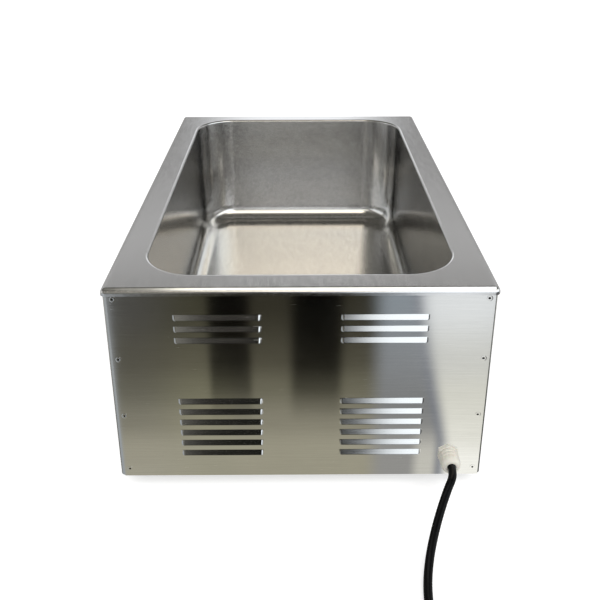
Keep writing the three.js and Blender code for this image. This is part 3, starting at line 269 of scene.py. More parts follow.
def soft_bar(tree, value, low, high, edge):
    """1 between low and high, 0 outside, with soft edges."""
    away = math_node(tree, "ABSOLUTE", math_node(tree, "SUBTRACT", value, (low + high) / 2))
    half = (high - low) / 2
    return soft_step(tree, away, half + edge, half - edge)


def grey(tone):
    """The same number three times."""
    return tone, tone, tone


def axes(tree, kind, output):
    """The X, Y and Z of a coordinate."""
    place = tree.nodes.new(kind)
    split = tree.nodes.new("ShaderNodeSeparateXYZ")
    tree.links.new(place.outputs[output], split.inputs[0])
    return tuple(split.outputs)


def shading(tree, kind, colour, strength=None):
    """A shader of one kind and colour."""
    made = tree.nodes.new(kind)
    feed(tree, made.inputs["Color"], colour)
    if strength is not None:
        made.inputs["Strength"].default_value = strength
    return made.outputs[0]


def stretched(tree, scale):
    """Object coordinates stretched by a scale for each axis."""
    place = tree.nodes.new("ShaderNodeTexCoord")
    mapping = tree.nodes.new("ShaderNodeMapping")
    mapping.inputs["Scale"].default_value = scale
    tree.links.new(place.outputs["Object"], mapping.inputs["Vector"])
    return mapping.outputs["Vector"]


def noise(tree, scale, detail=4, roughness=0.5):
    """Noise of one scale, or of a scale for each axis."""
    made = tree.nodes.new("ShaderNodeTexNoise")
    each = scale if isinstance(scale, tuple) else grey(scale)
    made.inputs["Scale"].default_value = 1
    made.inputs["Detail"].default_value = detail
    made.inputs["Roughness"].default_value = roughness
    tree.links.new(stretched(tree, each), made.inputs["Vector"])
    return made.outputs["Fac"]


def bump(tree, height, distance, under=None):
    made = tree.nodes.new("ShaderNodeBump")
    made.inputs["Distance"].default_value = distance
    tree.links.new(height, made.inputs["Height"])
    if under is not None:
        tree.links.new(under, made.inputs["Normal"])
    return made.outputs["Normal"]


def shaded(colour, share):
    return tuple(min(part * share, 1) for part in colour)


SCRATCH_TONE = (0.95, 0.95, 0.93)
SCRATCH_ROUGH = 0.3
SHEET_WAVES = 0.0004


def steel(name, colour, rough, grain, grain_depth, blotch=0.03, across=None, anisotropy=0.0, scratches=0.0,
          grazing=1.0):
    """Sheet steel. Grain scales its brush lines for each axis, across is the way that they are narrow, and
    grazing below 1 dims its mirror image at flat angles."""
    material, tree, shader = new_material(name)
    shader.inputs["Specular Tint"].default_value = (*grey(grazing), 1)
    lines = noise(tree, grain, detail=3, roughness=0.6)
    cloudy = noise(tree, 14, detail=5, roughness=0.65)
    tone = ramp(tree, lines, [(0.3, shaded(colour, 0.96)), (0.7, shaded(colour, 1.03))])
    dull = ramp(tree, cloudy, [(0.35, grey(1 - blotch)), (0.65, grey(1))])
    finish = mixed(tree, 1.0, tone, dull, "MULTIPLY")
    roughness = math_node(
        tree, "ADD", to_range(tree, lines, rough * 0.9, rough * 1.15), to_range(tree, cloudy, -0.01, 0.02))
    if scratches:
        # Short fine scratches lie along the brush lines, here and there.
        stroke = noise(tree, tuple(part * 1.7 for part in grain), detail=1)
        where = noise(tree, 55, detail=2)
        marks = math_node(
            tree, "MULTIPLY", soft_step(tree, stroke, 0.7, 0.78), soft_step(tree, where, 0.5, 0.62))
        marks = math_node(tree, "MULTIPLY", marks, scratches)
        finish = mixed(tree, marks, finish, SCRATCH_TONE)
        roughness = math_node(tree, "ADD", roughness, math_node(tree, "MULTIPLY", marks, SCRATCH_ROUGH))
    tree.links.new(finish, shader.inputs["Base Color"])
    tree.links.new(roughness, shader.inputs["Roughness"])
    shader.inputs["Metallic"].default_value = 1
    if across:
        shader.inputs["Anisotropic"].default_value = anisotropy
        tangent = tree.nodes.new("ShaderNodeCombineXYZ")
        for socket, value in zip(tangent.inputs, across):
            socket.default_value = value
        tree.links.new(tangent.outputs[0], shader.inputs["Tangent"])
    waves = bump(tree, noise(tree, 6, detail=1), SHEET_WAVES)
    tree.links.new(bump(tree, lines, grain_depth, under=waves), shader.inputs["Normal"])
    return material


def plastic(name, colour, roughness, grain=900, depth=0.00003, spread=0.12, specular=0.5, inside=0.0):
    """Moulded plastic or rubber with a fine grain and slightly uneven colour."""
    material, tree, shader = new_material(name)
    broad = noise(tree, 60)
    tone = ramp(tree, broad, [(0.3, shaded(colour, 1 - spread)), (0.7, shaded(colour, 1 + spread))])
    tree.links.new(tone, shader.inputs["Base Color"])
    tree.links.new(to_range(tree, broad, roughness - 0.05, roughness + 0.07), shader.inputs["Roughness"])
    tree.links.new(bump(tree, noise(tree, grain, detail=2), depth), shader.inputs["Normal"])
    shader.inputs["Specular IOR Level"].default_value = specular
    if inside:
        shader.inputs["Subsurface Weight"].default_value = inside
        shader.inputs["Subsurface Scale"].default_value = 0.003
    return material


def small_metal(name, colour, rough_low, rough_high, spots=240, depth=0.000004):
    """Plated or turned metal on small fittings."""
    material, tree, shader = new_material(name)
    grain = noise(tree, spots, detail=5, roughness=0.6)
    tone = ramp(tree, grain, [(0.32, shaded(colour, 0.82)), (0.62, colour)])
    tree.links.new(tone, shader.inputs["Base Color"])
    tree.links.new(to_range(tree, grain, rough_high, rough_low), shader.inputs["Roughness"])
    shader.inputs["Metallic"].default_value = 1
    tree.links.new(bump(tree, grain, depth), shader.inputs["Normal"])
    return material


# Mesh helpers


def mesh_object(name, shells, materials, nodes, body="warmer", sharp=30):
    """One piece from shells of (points, faces), or of (points, faces, which of the materials)."""
    points, faces, finishes = [], [], []
    for shell_points, shell_faces, *which in shells:
        start = len(points)
        points.extend(tuple(point) for point in shell_points)
        faces.extend(tuple(start + k for k in face) for face in shell_faces)
        finishes.extend((which or [0]) * len(shell_faces))
    mesh = bpy.data.meshes.new(name)
    mesh.from_pydata(points, [], faces)
    mesh.polygons.foreach_set("material_index", finishes)
    work = bmesh.new()
    work.from_mesh(mesh)
    bmesh.ops.recalc_face_normals(work, faces=work.faces)
    work.to_mesh(mesh)
    work.free()
    mesh.shade_smooth()
    mesh.set_sharp_from_angle(angle=math.radians(sharp))
    for material in materials:
        mesh.materials.append(material)
    made = linked(name, mesh)
    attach(made, body)
    if nodes:
        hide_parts(*nodes)
    return made


def softened(corners, steps=4):
    """A line through corners of (a, b, bend), each one rounded by its bend."""
    line = []
    for k, (a, b, bend) in enumerate(corners):
        here = Vector((a, b))
        if bend == 0 or k in (0, len(corners) - 1):
            line.append(here)
            continue
        back = Vector(corners[k - 1][:2]) - here
        onward = Vector(corners[k + 1][:2]) - here
        turn = math.pi - back.angle(onward)
        reach = min(bend * math.tan(turn / 2), 0.48 * min(back.length, onward.length))
        radius = reach / math.tan(turn / 2)
        inward = (back.normalized() + onward.normalized()).normalized()
        centre = here + inward * radius / math.cos(turn / 2)
        start = here + back.normalized() * reach - centre
        end = here + onward.normalized() * reach - centre
        for step in range(steps + 1):
            share = step / steps
            arm = start * math.sin((1 - share) * turn) + end * math.sin(share * turn)
            line.append(centre + arm / math.sin(turn))
    return line


def turned(profile, steps, spot, axis="Y", ripple=None):
    """A profile of (radius, along) turned about an axis through a spot. It runs from the axis to the axis,
    or closes on itself. Ripple gives a radius for (radius, along, angle)."""
    points, rows, faces = [], [], []

    def put(a, b, along):
        return Vector((a, along, b) if axis == "Y" else (a, b, along))

    for radius, along in profile:
        if radius == 0:
            rows.append([len(points)] * steps)
            points.append(put(*spot, along))
            continue
        rows.append(list(range(len(points), len(points) + steps)))
        for k in range(steps):
            angle = 2 * math.pi * k / steps
            reach = ripple(radius, along, angle) if ripple else radius
            points.append(put(spot[0] + reach * math.cos(angle), spot[1] + reach * math.sin(angle), along))
    if profile[0][0] > 0:
        rows.append(rows[0])
    for low, high in zip(rows, rows[1:]):
        for k in range(steps):
            after = (k + 1) % steps
            face = tuple(dict.fromkeys((low[k], high[k], high[after], low[after])))
            if len(face) > 2:
                faces.append(face)
    return points, faces


def plate(outline, low, high, axis="Z"):
    """A flat outline of (a, b) made thick along Y or Z."""
    def put(a, b, along):
        return (a, along, b) if axis == "Y" else (a, b, along)

    count = len(outline)
    points = [put(a, b, low) for a, b in outline] + [put(a, b, high) for a, b in outline]
    faces = [tuple(range(count)), tuple(reversed(range(count, 2 * count)))]
    for k in range(count):
        after = (k + 1) % count
        faces.append((k, after, after + count, k + count))
    return points, faces


def rounded_ring(half_x, half_y, radius, centre_y, z, steps):
    points = []
    for quarter, (side_x, side_y) in enumerate(((1, 1), (-1, 1), (-1, -1), (1, -1))):
        for k in range(steps + 1):
            angle = (quarter + k / steps) * math.pi / 2
            points.append(Vector((
                side_x * (half_x - radius) + radius * math.cos(angle),
                centre_y + side_y * (half_y - radius) + radius * math.sin(angle),
                z,
            )))
    return points


def loft(rings):
    """Points and faces of a closed surface through rings of equal count, capped at both ends."""
    count = len(rings[0])
    points = [point for ring in rings for point in ring]
    faces = []
    for row in range(len(rings) - 1):
        for k in range(count):
            a = row * count + k
            b = row * count + (k + 1) % count
            faces.append((a, a + count, b + count, b))
    faces.append(tuple(range(count)))
    faces.append(tuple(reversed(range((len(rings) - 1) * count, len(rings) * count))))
    return points, faces


# The pressed top: floor, cove, wall, lip, deck, rim and skirt

CORNER_STEPS = 20
COVE_STEPS = 14
LIP_STEPS = 7
RIM_STEPS = 10
# The width of the flat strips that keep the bends' shading off the flat sheets
HOLD = 1.2 * MM


def well_rings(offset):
    """Rings from the well's floor out to the skirt. The offset gives the sheet's other face."""
    rings = []

    def ring(outset, corner, z):
        rings.append(rounded_ring(
            WALL_HALF_X + outset, WALL_HALF_Y + outset, corner + outset, WELL_SHIFT, z, CORNER_STEPS))

    cove = COVE + offset
    corner = WELL_CORNER
    for inset in (COVE + 8 * HOLD, COVE + HOLD):
        ring(-WELL_DRAFT - inset, corner, WELL_FLOOR - offset)
    for k in range(COVE_STEPS + 1):
        angle = k / COVE_STEPS * math.pi / 2
        ring(cove * math.sin(angle) - COVE - WELL_DRAFT, corner, WELL_FLOOR + COVE - cove * math.cos(angle))
    lip = WELL_BEND - offset
    for k in range(LIP_STEPS + 1):
        angle = k / LIP_STEPS * math.pi / 2
        ring(WELL_BEND - lip * math.cos(angle), corner, TOP - WELL_BEND + lip * math.sin(angle))
    ring(WELL_BEND + HOLD, corner, TOP - offset)

    def rim_ring(inset, corner, z):
        rings.append(rounded_ring(RIM_HALF_X - inset, RIM_HALF_Y - inset, corner, 0, z, CORNER_STEPS))

    rim_ring(RIM_BEND + HOLD, RIM_CORNER - RIM_BEND, TOP - offset)
    edge = RIM_BEND - offset
    for k in range(RIM_STEPS + 1):
        angle = k / RIM_STEPS * math.pi / 2
        inset = RIM_BEND - edge * math.sin(angle)
        rim_ring(inset, RIM_CORNER - inset, TOP - RIM_BEND + edge * math.cos(angle))
    for drop in (RIM_BEND + HOLD / 2, SKIRT - HOLD / 3, SKIRT):
        rim_ring(offset, RIM_CORNER - offset, TOP - drop)
    return rings


def pressed_top(material):
    points, faces = loft(well_rings(0) + list(reversed(well_rings(SHEET))))
    mesh_object("pressed_top", [(points, faces)], [material], ["well_top"])


# The louvred panel: one sheet with a slit under each hood, made thick inwards

# Places along each hood's ramped end, as shares of the ramp
LOUVRE_ENDS = (0, 0.12, 0.3, 0.55, 0.8, 1, 1.15)
# Each hood's shape from its top to its lip: shares of the height and of the lift
LOUVRE_FALL = (
    (0, 0), (0.03, 0.008), (0.07, 0.045), (0.11, 0.088), (0.84, 0.886), (0.88, 0.93), (0.94, 0.99), (1, 1),
)
FLAT_ENOUGH = 0.99999


def louvre_tops():
    upper = [UPPER_TOP - row * LOUVRE_PITCH for row in range(UPPER_ROWS)]
    lower = [LOWER_TOP - row * LOUVRE_PITCH for row in range(LOWER_ROWS)]
    return upper + lower


def thicken(points, faces):
    """Adds the back of the sheet and the rims round its outline and slits."""
    edges = {edge for face in faces for edge in zip(face, face[1:] + face[:1])}
    rims = [(a, b) for a, b in edges if (b, a) not in edges]
    count = len(points)
    points.extend([(x, y - SHEET, z) for x, y, z in points])
    faces.extend([tuple(count + k for k in reversed(face)) for face in list(faces)])
    faces.extend([(b, a, a + count, b + count) for a, b in rims])


def louvred_panel(material):
    """A grid of columns at the stations and rows at the hoods, with a second edge under each lip."""
    stations = [(PANEL_SHIFT - PANEL_HALF, 0), (PANEL_SHIFT + PANEL_HALF, 0)]
    for side in (-1, 1):
        middle = PANEL_SHIFT + side * LOUVRE_COLUMN
        half = LOUVRE_LENGTH / 2
        for share in LOUVRE_ENDS:
            lift = math.sin(min(share, 1) * math.pi / 2)
            stations.append((middle - half + share * LOUVRE_RAMP, lift))
            stations.append((middle + half - share * LOUVRE_RAMP, lift))
    stations.sort()
    points, faces = [], []

    def row(z, share):
        start = len(points)
        points.extend([(x, PANEL_FACE + LOUVRE_LIFT * lift * share, z) for x, lift in stations])
        return list(range(start, len(points)))

    def band(low, high):
        for k in range(len(stations) - 1):
            faces.append((low[k], high[k], high[k + 1], low[k + 1]))

    level = row(PANEL_HIGH, 0)
    for top in louvre_tops():
        for fall, share in LOUVRE_FALL:
            lower = row(top - fall * LOUVRE_HEIGHT, share)
            band(lower, level)
            level = lower
        for k, (x, lift) in enumerate(stations):
            if lift:
                level[k] = len(points)
                points.append((x, PANEL_FACE, top - LOUVRE_HEIGHT))
    band(row(PANEL_LOW, 0), level)
    thicken(points, faces)
    panel = mesh_object(
        "louvred_panel", [(points, faces)], [material], ["rear_panel"], sharp=50)
    # The flat sheet stays flat in its shading, up to each hood's foot.
    beside = {}
    for face in panel.data.polygons:
        for key in face.edge_keys:
            beside.setdefault(key, set()).add(abs(face.normal.y) > FLAT_ENOUGH)
    for edge in panel.data.edges:
        if len(beside[edge.key]) == 2:
            edge.use_edge_sharp = True


# Front and sides in one folded sheet, with its flanges


def folded_wall(material):
    wall = BODY_HALF - SHEET / 2
    front = FRONT_FACE + SHEET / 2
    rear = FLANGE_FACE - SHEET / 2
    tip = BODY_HALF - REAR_FLANGE
    bend = FOLD + SHEET / 2
    corners = [(-tip, rear), (-wall, rear), (-wall, front), (wall, front), (wall, rear), (tip, rear)]
    line = softened([(x, y, bend) for x, y in corners], steps=10)
    inner, outer = [], []
    for k, here in enumerate(line):
        along = (line[min(k + 1, len(line) - 1)] - line[max(k - 1, 0)]).normalized()
        side = Vector((along.y, -along.x)) * SHEET / 2
        inner.append(here + side)
        outer.append(here - side)
    points, faces = plate(inner + list(reversed(outer)), PANEL_LOW, PANEL_HIGH)
    # Strips from bend to bend take the place of the two ends.
    del faces[:2]
    count = len(points) // 2
    for k in range(len(line) - 1):
        strip = (k, k + 1, count - 2 - k, count - 1 - k)
        faces.append(strip)
        faces.append(tuple(corner + count for corner in reversed(strip)))
    nip = 0.6 * FOLD
    ledge = BODY_HALF - BOTTOM_FLANGE
    near = FRONT_FACE + BOTTOM_FLANGE
    flange = plate([
        (-wall, rear - nip), (-wall, front + nip), (-wall + nip, front), (wall - nip, front),
        (wall, front + nip), (wall, rear - nip), (wall - nip, rear), (ledge, rear), (ledge, near),
        (-ledge, near), (-ledge, rear), (-wall + nip, rear),
    ], PANEL_LOW, PANEL_LOW + SHEET)
    mesh_object("folded_wall", [(points, faces), flange], [material], ["body_wrapper"])


# Blind rivets: a flush head, and in the open core that the pulled stem leaves a near-black disc as painted
# shade


def rivets(head, core):
    deep = PANEL_FACE + RIVET_CORE_RISE
    top = PANEL_FACE + RIVET_RISE
    ring = softened([
        (RIVET_HOLE, PANEL_FACE, 0), (RIVET_HOLE, top, 0.03 * MM), (RIVET_HEAD - 0.02 * MM, top, 0.03 * MM),
        (RIVET_HEAD, PANEL_FACE - 0.1 * MM, 0), (RIVET_HOLE + 0.4 * MM, PANEL_FACE - 0.15 * MM, 0),
    ], steps=3)
    # The near-black disc in the hole is painted shade, where the hollow core is dark.
    painted_shade_disc = [(0, deep), (RIVET_HOLE, deep), (RIVET_HOLE, deep - 0.1 * MM), (0, deep - 0.1 * MM)]
    for k in range(2 * RIVET_ROWS):
        column, row = divmod(k, RIVET_ROWS)
        x = PANEL_SHIFT + (-1, 1)[column] * RIVET_COLUMN
        z = RIVET_HIGH - row * (RIVET_HIGH - RIVET_LOW) / (RIVET_ROWS - 1)
        shells = [turned(ring, 28, (x, z)), (*turned(painted_shade_disc, 28, (x, z)), 1)]
        mesh_object(f"rivet_{k + 1}", shells, [head, core], [f"panel_rivet_{k + 1}"])


# Cable gland: hexagon against the panel, and the dome nut that grips the cord

HEX_NEAR = PANEL_FACE + 0.3 * MM
HEX_FAR = HEX_NEAR + 5 * MM
NUT_NEAR = HEX_FAR + 0.3 * MM
NUT_SHOULDER = NUT_NEAR + 11 * MM
NUT_FLUTES = 14
NUT_FLUTE_DEPTH = 0.2 * MM
NUT_RIB_PITCH = 4.4 * MM
NUT_RIB_DEPTH = 0.5 * MM
NUT_FADE = 3 * MM
NUT_MOUTH = 6 * MM
THREAD_BORE = 5.9 * MM
THREAD_RADIUS = 9 * MM
COLLET_RADIUS = 7.6 * MM


def gland(material):
    spot = (GLAND_X, CONTROL_Z)
    apothem = GLAND_HEX / 2 - GLAND_HEX_TRIM

    def hexed(radius, along, angle):
        turn = (angle + math.pi / 6) % (math.pi / 3) - math.pi / 6
        return min(radius, apothem / math.cos(turn))

    inside = PANEL_FACE - 11.8 * MM
    neck = HEX_FAR + 7.5 * MM
    body = [
        (THREAD_BORE, inside), (THREAD_RADIUS, inside), (THREAD_RADIUS, HEX_NEAR), (11.3 * MM, HEX_NEAR),
        (11.3 * MM, HEX_FAR - 2.6 * MM), (10.9 * MM, HEX_FAR - 1.4 * MM), (10.1 * MM, HEX_FAR - 0.5 * MM),
        (9.1 * MM, HEX_FAR), (COLLET_RADIUS, HEX_FAR), (COLLET_RADIUS, neck), (THREAD_BORE, neck),
    ]
    mesh_object(
        "gland_hexagon", [turned(body, 72, spot, ripple=hexed)], [material], ["gland_body"],
        sharp=25)

    def fluted(radius, along, angle):
        if radius < 7 * MM or along > NUT_SHOULDER + NUT_FADE:
            return radius
        fade = min(max((NUT_SHOULDER + NUT_FADE - along) / NUT_FADE, 0), 1)
        ribs = NUT_RIB_DEPTH * max(math.cos((along - NUT_NEAR) / NUT_RIB_PITCH * 2 * math.pi), 0) ** 2
        flutes = NUT_FLUTE_DEPTH * max(math.cos(NUT_FLUTES * angle), 0) ** 2
        return radius - fade * (flutes + ribs)

    nut = [(7.9 * MM, NUT_NEAR), (GLAND_RADIUS, NUT_NEAR)]
    for k in range(33):
        nut.append((GLAND_RADIUS, NUT_NEAR + 0.2 * MM + k * 10.8 * MM / 32))
    drop = GLAND_RADIUS - NUT_MOUTH
    rise = GLAND_MOUTH - NUT_SHOULDER
    for k in range(1, 13):
        angle = k / 12 * math.pi / 2
        nut.append((NUT_MOUTH + drop * math.cos(angle), NUT_SHOULDER + rise * math.sin(angle)))
    nut += [
        (4.9 * MM, GLAND_MOUTH), (4.4 * MM, GLAND_MOUTH - 0.5 * MM), (4.4 * MM, NUT_SHOULDER - 3 * MM),
        (7.9 * MM, NUT_NEAR + 3 * MM),
    ]
    mesh_object(
        "gland_nut", [turned(nut, 112, spot, ripple=fluted)], [material], ["gland_dome_nut"],
        sharp=40)


# Control knob with its dial, the index mark above it, and the pilot lamp

KNOB_GRIP = 16.5 * MM
KNOB_SKIRT = KNOB_BACK - 4 * MM
KNOB_FLUTES = 12
KNOB_FLUTE_DEPTH = 1.5 * MM
KNOB_HUB = 5.5 * MM
DIAL_OUTER = 22 * MM
DIAL_INNER = 19.5 * MM
DIAL_RADIUS = 19.5 * MM
DIAL_STEP = 30
DIAL_TEXT = 3.1 * MM
LETTER_DEPTH = 0.04 * MM
DIAL = ("OFF", "1", "2", "3", "4", "5", "6", "7", "8", "9", "10")


def letters(text, size, place, angle):
    """Raised letters that face -Y, turned anticlockwise by an angle about the knob."""
    curve = bpy.data.curves.new("letters", "FONT")
    curve.body = text
    curve.size = size
    curve.align_x = curve.align_y = "CENTER"
    curve.extrude = LETTER_DEPTH
    holder = bpy.data.objects.new("letters", curve)
    flat = bpy.data.meshes.new_from_object(holder)
    points = []
    for vertex in flat.vertices:
        a, b, out = vertex.co
        b += DIAL_RADIUS
        x = a * math.cos(angle) - b * math.sin(angle)
        z = a * math.sin(angle) + b * math.cos(angle)
        points.append((KNOB_X + x, place - out, CONTROL_Z + z))
    faces = [tuple(face.vertices) for face in flat.polygons]
    bpy.data.meshes.remove(flat)
    bpy.data.objects.remove(holder)
    return points, faces


def knob(plastic_black, paint):
    def fluted(radius, along, angle):
        if along > KNOB_SKIRT - 1 * MM or radius < 15 * MM:
            return radius
        return radius - KNOB_FLUTE_DEPTH * max(math.cos(KNOB_FLUTES * angle), 0) ** 1.5

    recess = KNOB_BACK - 2 * MM
    profile = softened([
        (0, KNOB_FRONT + 0.7 * MM, 0), (10.5 * MM, KNOB_FRONT + 0.7 * MM, 1 * MM),
        (12.5 * MM, KNOB_FRONT, 0.6 * MM), (15.4 * MM, KNOB_FRONT + 0.6 * MM, 2 * MM),
        (KNOB_GRIP, KNOB_FRONT + 5 * MM, 6 * MM), (17.2 * MM, KNOB_SKIRT, 0.8 * MM),
        (21.4 * MM, KNOB_SKIRT, 0.7 * MM), (DIAL_OUTER, KNOB_SKIRT + 1 * MM, 0.8 * MM),
        (DIAL_OUTER, KNOB_BACK, 0.3 * MM), (DIAL_INNER, KNOB_BACK, 0), (DIAL_INNER, recess, 0),
        (KNOB_HUB, recess, 0), (KNOB_HUB, KNOB_BACK, 0), (0, KNOB_BACK, 0),
    ], steps=5)
    shells = [turned(profile, 144, (KNOB_X, CONTROL_Z), ripple=fluted)]
    for k, text in enumerate(DIAL):
        shells.append((*letters(text, DIAL_TEXT, KNOB_SKIRT, math.radians(k * DIAL_STEP)), 1))
    pointer = [(-0.6 * MM, 3 * MM), (0.6 * MM, 3 * MM), (0.6 * MM, 10 * MM), (-0.6 * MM, 10 * MM)]
    spot = [(KNOB_X + a, CONTROL_Z + b) for a, b in pointer]
    shells.append((*plate(spot, KNOB_FRONT + 0.62 * MM, KNOB_FRONT + 0.9 * MM, "Y"), 1))
    mesh_object(
        "dial_knob", shells, [plastic_black, paint], ["control_knob"], body="knob", sharp=35)


def index_mark(ink):
    low = CONTROL_Z + 24 * MM
    outline = [(KNOB_X, low), (KNOB_X + 2 * MM, low + 3.4 * MM), (KNOB_X - 2 * MM, low + 3.4 * MM)]
    shell = plate(outline, FRONT_FACE - 0.05 * MM, FRONT_FACE + 0.05 * MM, "Y")
    mesh_object("index_mark", [shell], [ink], [])


LENS_RADIUS = 5.6 * MM
LENS_DOME = 3.4 * MM
LENS_PRISMS = 20
LENS_RIPPLE = 0.03


def pilot_lamp(bezel, lens):
    spot = (LAMP_X, CONTROL_Z)
    seat = FRONT_FACE - 0.3 * MM
    rear = FRONT_FACE + SHEET + 24 * MM
    body = softened([
        (0, seat - 1.5 * MM, 0), (5.9 * MM, seat - 1.5 * MM, 0), (5.9 * MM, seat - 3 * MM, 0.3 * MM),
        (7.3 * MM, seat - 3 * MM, 0.8 * MM), (8.5 * MM, seat - 1.2 * MM, 0.8 * MM), (8.5 * MM, seat, 0),
        (6 * MM, seat, 0), (6 * MM, rear, 0.5 * MM), (0, rear, 0),
    ])
    shells = [turned(body, 72, spot)]
    for side in (-1, 1):
        x = LAMP_X + side * 3 * MM
        tab = [
            (x - 0.4 * MM, CONTROL_Z - 1.6 * MM), (x + 0.4 * MM, CONTROL_Z - 1.6 * MM),
            (x + 0.4 * MM, CONTROL_Z + 1.6 * MM), (x - 0.4 * MM, CONTROL_Z + 1.6 * MM),
        ]
        shells.append(plate(tab, rear - 2 * MM, rear + 3 * MM, "Y"))
    mesh_object("lamp_bezel", shells, [bezel], ["pilot_lamp_body"])

    def prisms(radius, along, angle):
        return radius * (1 - LENS_RIPPLE * (1 + math.cos(LENS_PRISMS * angle)) / 2)

    back = seat - 1.8 * MM
    dome = [(0, back - 4.9 * MM)]
    for k in range(1, 13):
        angle = k / 12 * math.pi / 2
        dome.append((LENS_RADIUS * math.sin(angle), back - 1.5 * MM - LENS_DOME * math.cos(angle)))
    dome += [(LENS_RADIUS, back), (0, back)]
    mesh_object(
        "lamp_lens", [turned(dome, 160, spot, ripple=prisms)], [lens], ["pilot_lamp_lens"])


# Rubber feet with a recess for the screw

FOOT_RADIUS = 12 * MM
FOOT_HEIGHT = 13.5 * MM
FOOT_BORE = 2.3 * MM


def feet(material):
    profile = softened([
        (FOOT_BORE, 9 * MM, 0), (FOOT_BORE, 5 * MM, 0), (5 * MM, 5 * MM, 0), (5 * MM, 0, 0.6 * MM),
        (10 * MM, 0, 0.8 * MM), (FOOT_RADIUS, 2 * MM, 1.2 * MM), (FOOT_RADIUS, FOOT_HEIGHT, 0),
        (FOOT_BORE, FOOT_HEIGHT, 0), (FOOT_BORE, 9 * MM, 0),
    ])[:-1]
    for k, (side_x, side_y) in enumerate(((-1, -1), (1, -1), (-1, 1), (1, 1))):
        shell = turned(profile, 64, (side_x * FOOT_X, side_y * FOOT_Y), axis="Z")
        mesh_object(f"rubber_foot_{k + 1}", [shell], [material], [f"foot_{k + 1}"])


# Moulded plug with a ribbed strain relief, two flat blades and a round earth pin

PLUG_RELIEF = 34 * MM
PLUG_LENGTH = 40 * MM
PLUG_HALF = 14 * MM
# The plug's shape: shares of its length and of its width
PLUG_SHAPE = (
    (0.0, 0.58), (0.03, 0.66), (0.1, 0.76), (0.22, 0.87), (0.36, 0.96), (0.5, 1), (0.94, 1), (0.98, 0.985),
    (1, 0.95),
)
RELIEF_RADIUS = 4.4 * MM
RELIEF_GROWTH = 2.2 * MM
RELIEF_GROOVE = 0.8 * MM
PLUG_GAP = 0.2 * MM
BLADE_ASIDE = 6.35 * MM
BLADE_HEIGHT = 6.35 * MM
BLADE_RISE = 3.5 * MM
BLADE_LENGTH = 17.5 * MM
BLADE_HALF = 0.75 * MM
BLADE_HOLE = 1.6 * MM
PIN_DROP = 8.4 * MM


def plug(rubber, metal):
    start = Vector(coil_points()[-1]) * MM
    low = start.x + 0.3 * MM
    relief_end = low + PLUG_RELIEF
    face = relief_end + PLUG_LENGTH
    tall = start.z

    def section(x, half_y, half_z, corner):
        ring = rounded_ring(half_y, half_z, corner, 0, 0, 8)
        return [Vector((x, start.y + point.x, start.z + point.y)) for point in ring]

    rings = []
    for k in range(41):
        share = k / 40
        radius = RELIEF_RADIUS + share * RELIEF_GROWTH
        if 4 < k < 36 and k % 4 in (0, 1):
            radius -= RELIEF_GROOVE
        rings.append(section(low + share * PLUG_RELIEF, radius, radius, radius * 0.99))
    for share, wide in PLUG_SHAPE:
        rings.append(section(
            relief_end + PLUG_GAP + share * (PLUG_LENGTH - PLUG_GAP),
            PLUG_HALF * wide, tall * wide, 6 * MM * wide))
    mesh_object("moulded_plug", [loft(rings)], [rubber], ["plug_body"])

    def blade(y):
        bottom = start.z + BLADE_RISE - BLADE_HEIGHT / 2
        top = bottom + BLADE_HEIGHT
        end = face + BLADE_LENGTH
        near = face - 4 * MM
        hole_x = face + 12 * MM
        middle = (bottom + top) / 2
        outline = [(near, bottom), (end - 2 * MM, bottom), (end, bottom + 1.4 * MM), (end, middle)]
        hole = []
        for k in range(25):
            angle = -2 * math.pi * k / 24
            hole.append((hole_x + BLADE_HOLE * math.cos(angle), middle + BLADE_HOLE * math.sin(angle)))
        outline += hole + [(end, middle), (end, top - 1.4 * MM), (end - 2 * MM, top), (near, top)]
        return plate(outline, y - BLADE_HALF, y + BLADE_HALF, "Y")

    for number, side in ((1, -1), (2, 1)):
        mesh_object(
            f"blade_{number}", [blade(start.y + side * BLADE_ASIDE)], [metal],
            [f"plug_blade_{number}"])
    pin_z = start.z - PIN_DROP
    pin = []
    for x, radius in ((-4, 2.4), (19, 2.4), (20.2, 2), (20.8, 1.2), (21, 0.5)):
        ring = rounded_ring(radius * MM, radius * MM, radius * 0.99 * MM, 0, 0, 8)
        pin.append([Vector((face + x * MM, start.y + point.x, pin_z + point.y)) for point in ring])
    mesh_object("earth_pin", [loft(pin)], [metal], ["plug_earth_pin"])


# Floor and backdrop. The steel mirrors soft shapes in them, and the camera sees them plain white.

FLOOR_LEVEL = -0.0002
FLOOR_REACH = 6
# Where the mirrored camera looks from, and how far the panel and the floor are from it
MIRROR_X = 0.0035
MIRROR_Y = -0.3255
MIRROR_SPAN = 0.60875
MIRROR_HEIGHT = 0.5657
# The nearest floor, as a share of the span, and the panel's height in millimetres
NEAREST = 0.05
PANEL_SPAN = 215
# The two dark upright bars that the panel mirrors: low and high side and soft edge in its millimetres
DARK_BARS = ((47.5, 86.5, 3.5), (-39, 9, 6))
BAR_TONE = (0.002, 0.002, 0.0015)


def level_sheet(name, low, high, z):
    """A rectangle at one height."""
    mesh = bpy.data.meshes.new(name)
    corners = [low, (high[0], low[1]), high, (low[0], high[1])]
    mesh.from_pydata([(x, y, z) for x, y in corners], [], [(0, 1, 2, 3)])
    made = linked(name, mesh)
    return made


def surface(made, name, fill):
    """Gives an object a material that fill makes in an empty tree."""
    material = bpy.data.materials.new(name)
    material.use_nodes = True
    tree = material.node_tree
    tree.nodes.clear()
    output = tree.nodes.new("ShaderNodeOutputMaterial")
    feed(tree, output.inputs["Surface"], fill(tree))
    material.cycles.emission_sampling = "NONE"
    made.data.materials.append(material)


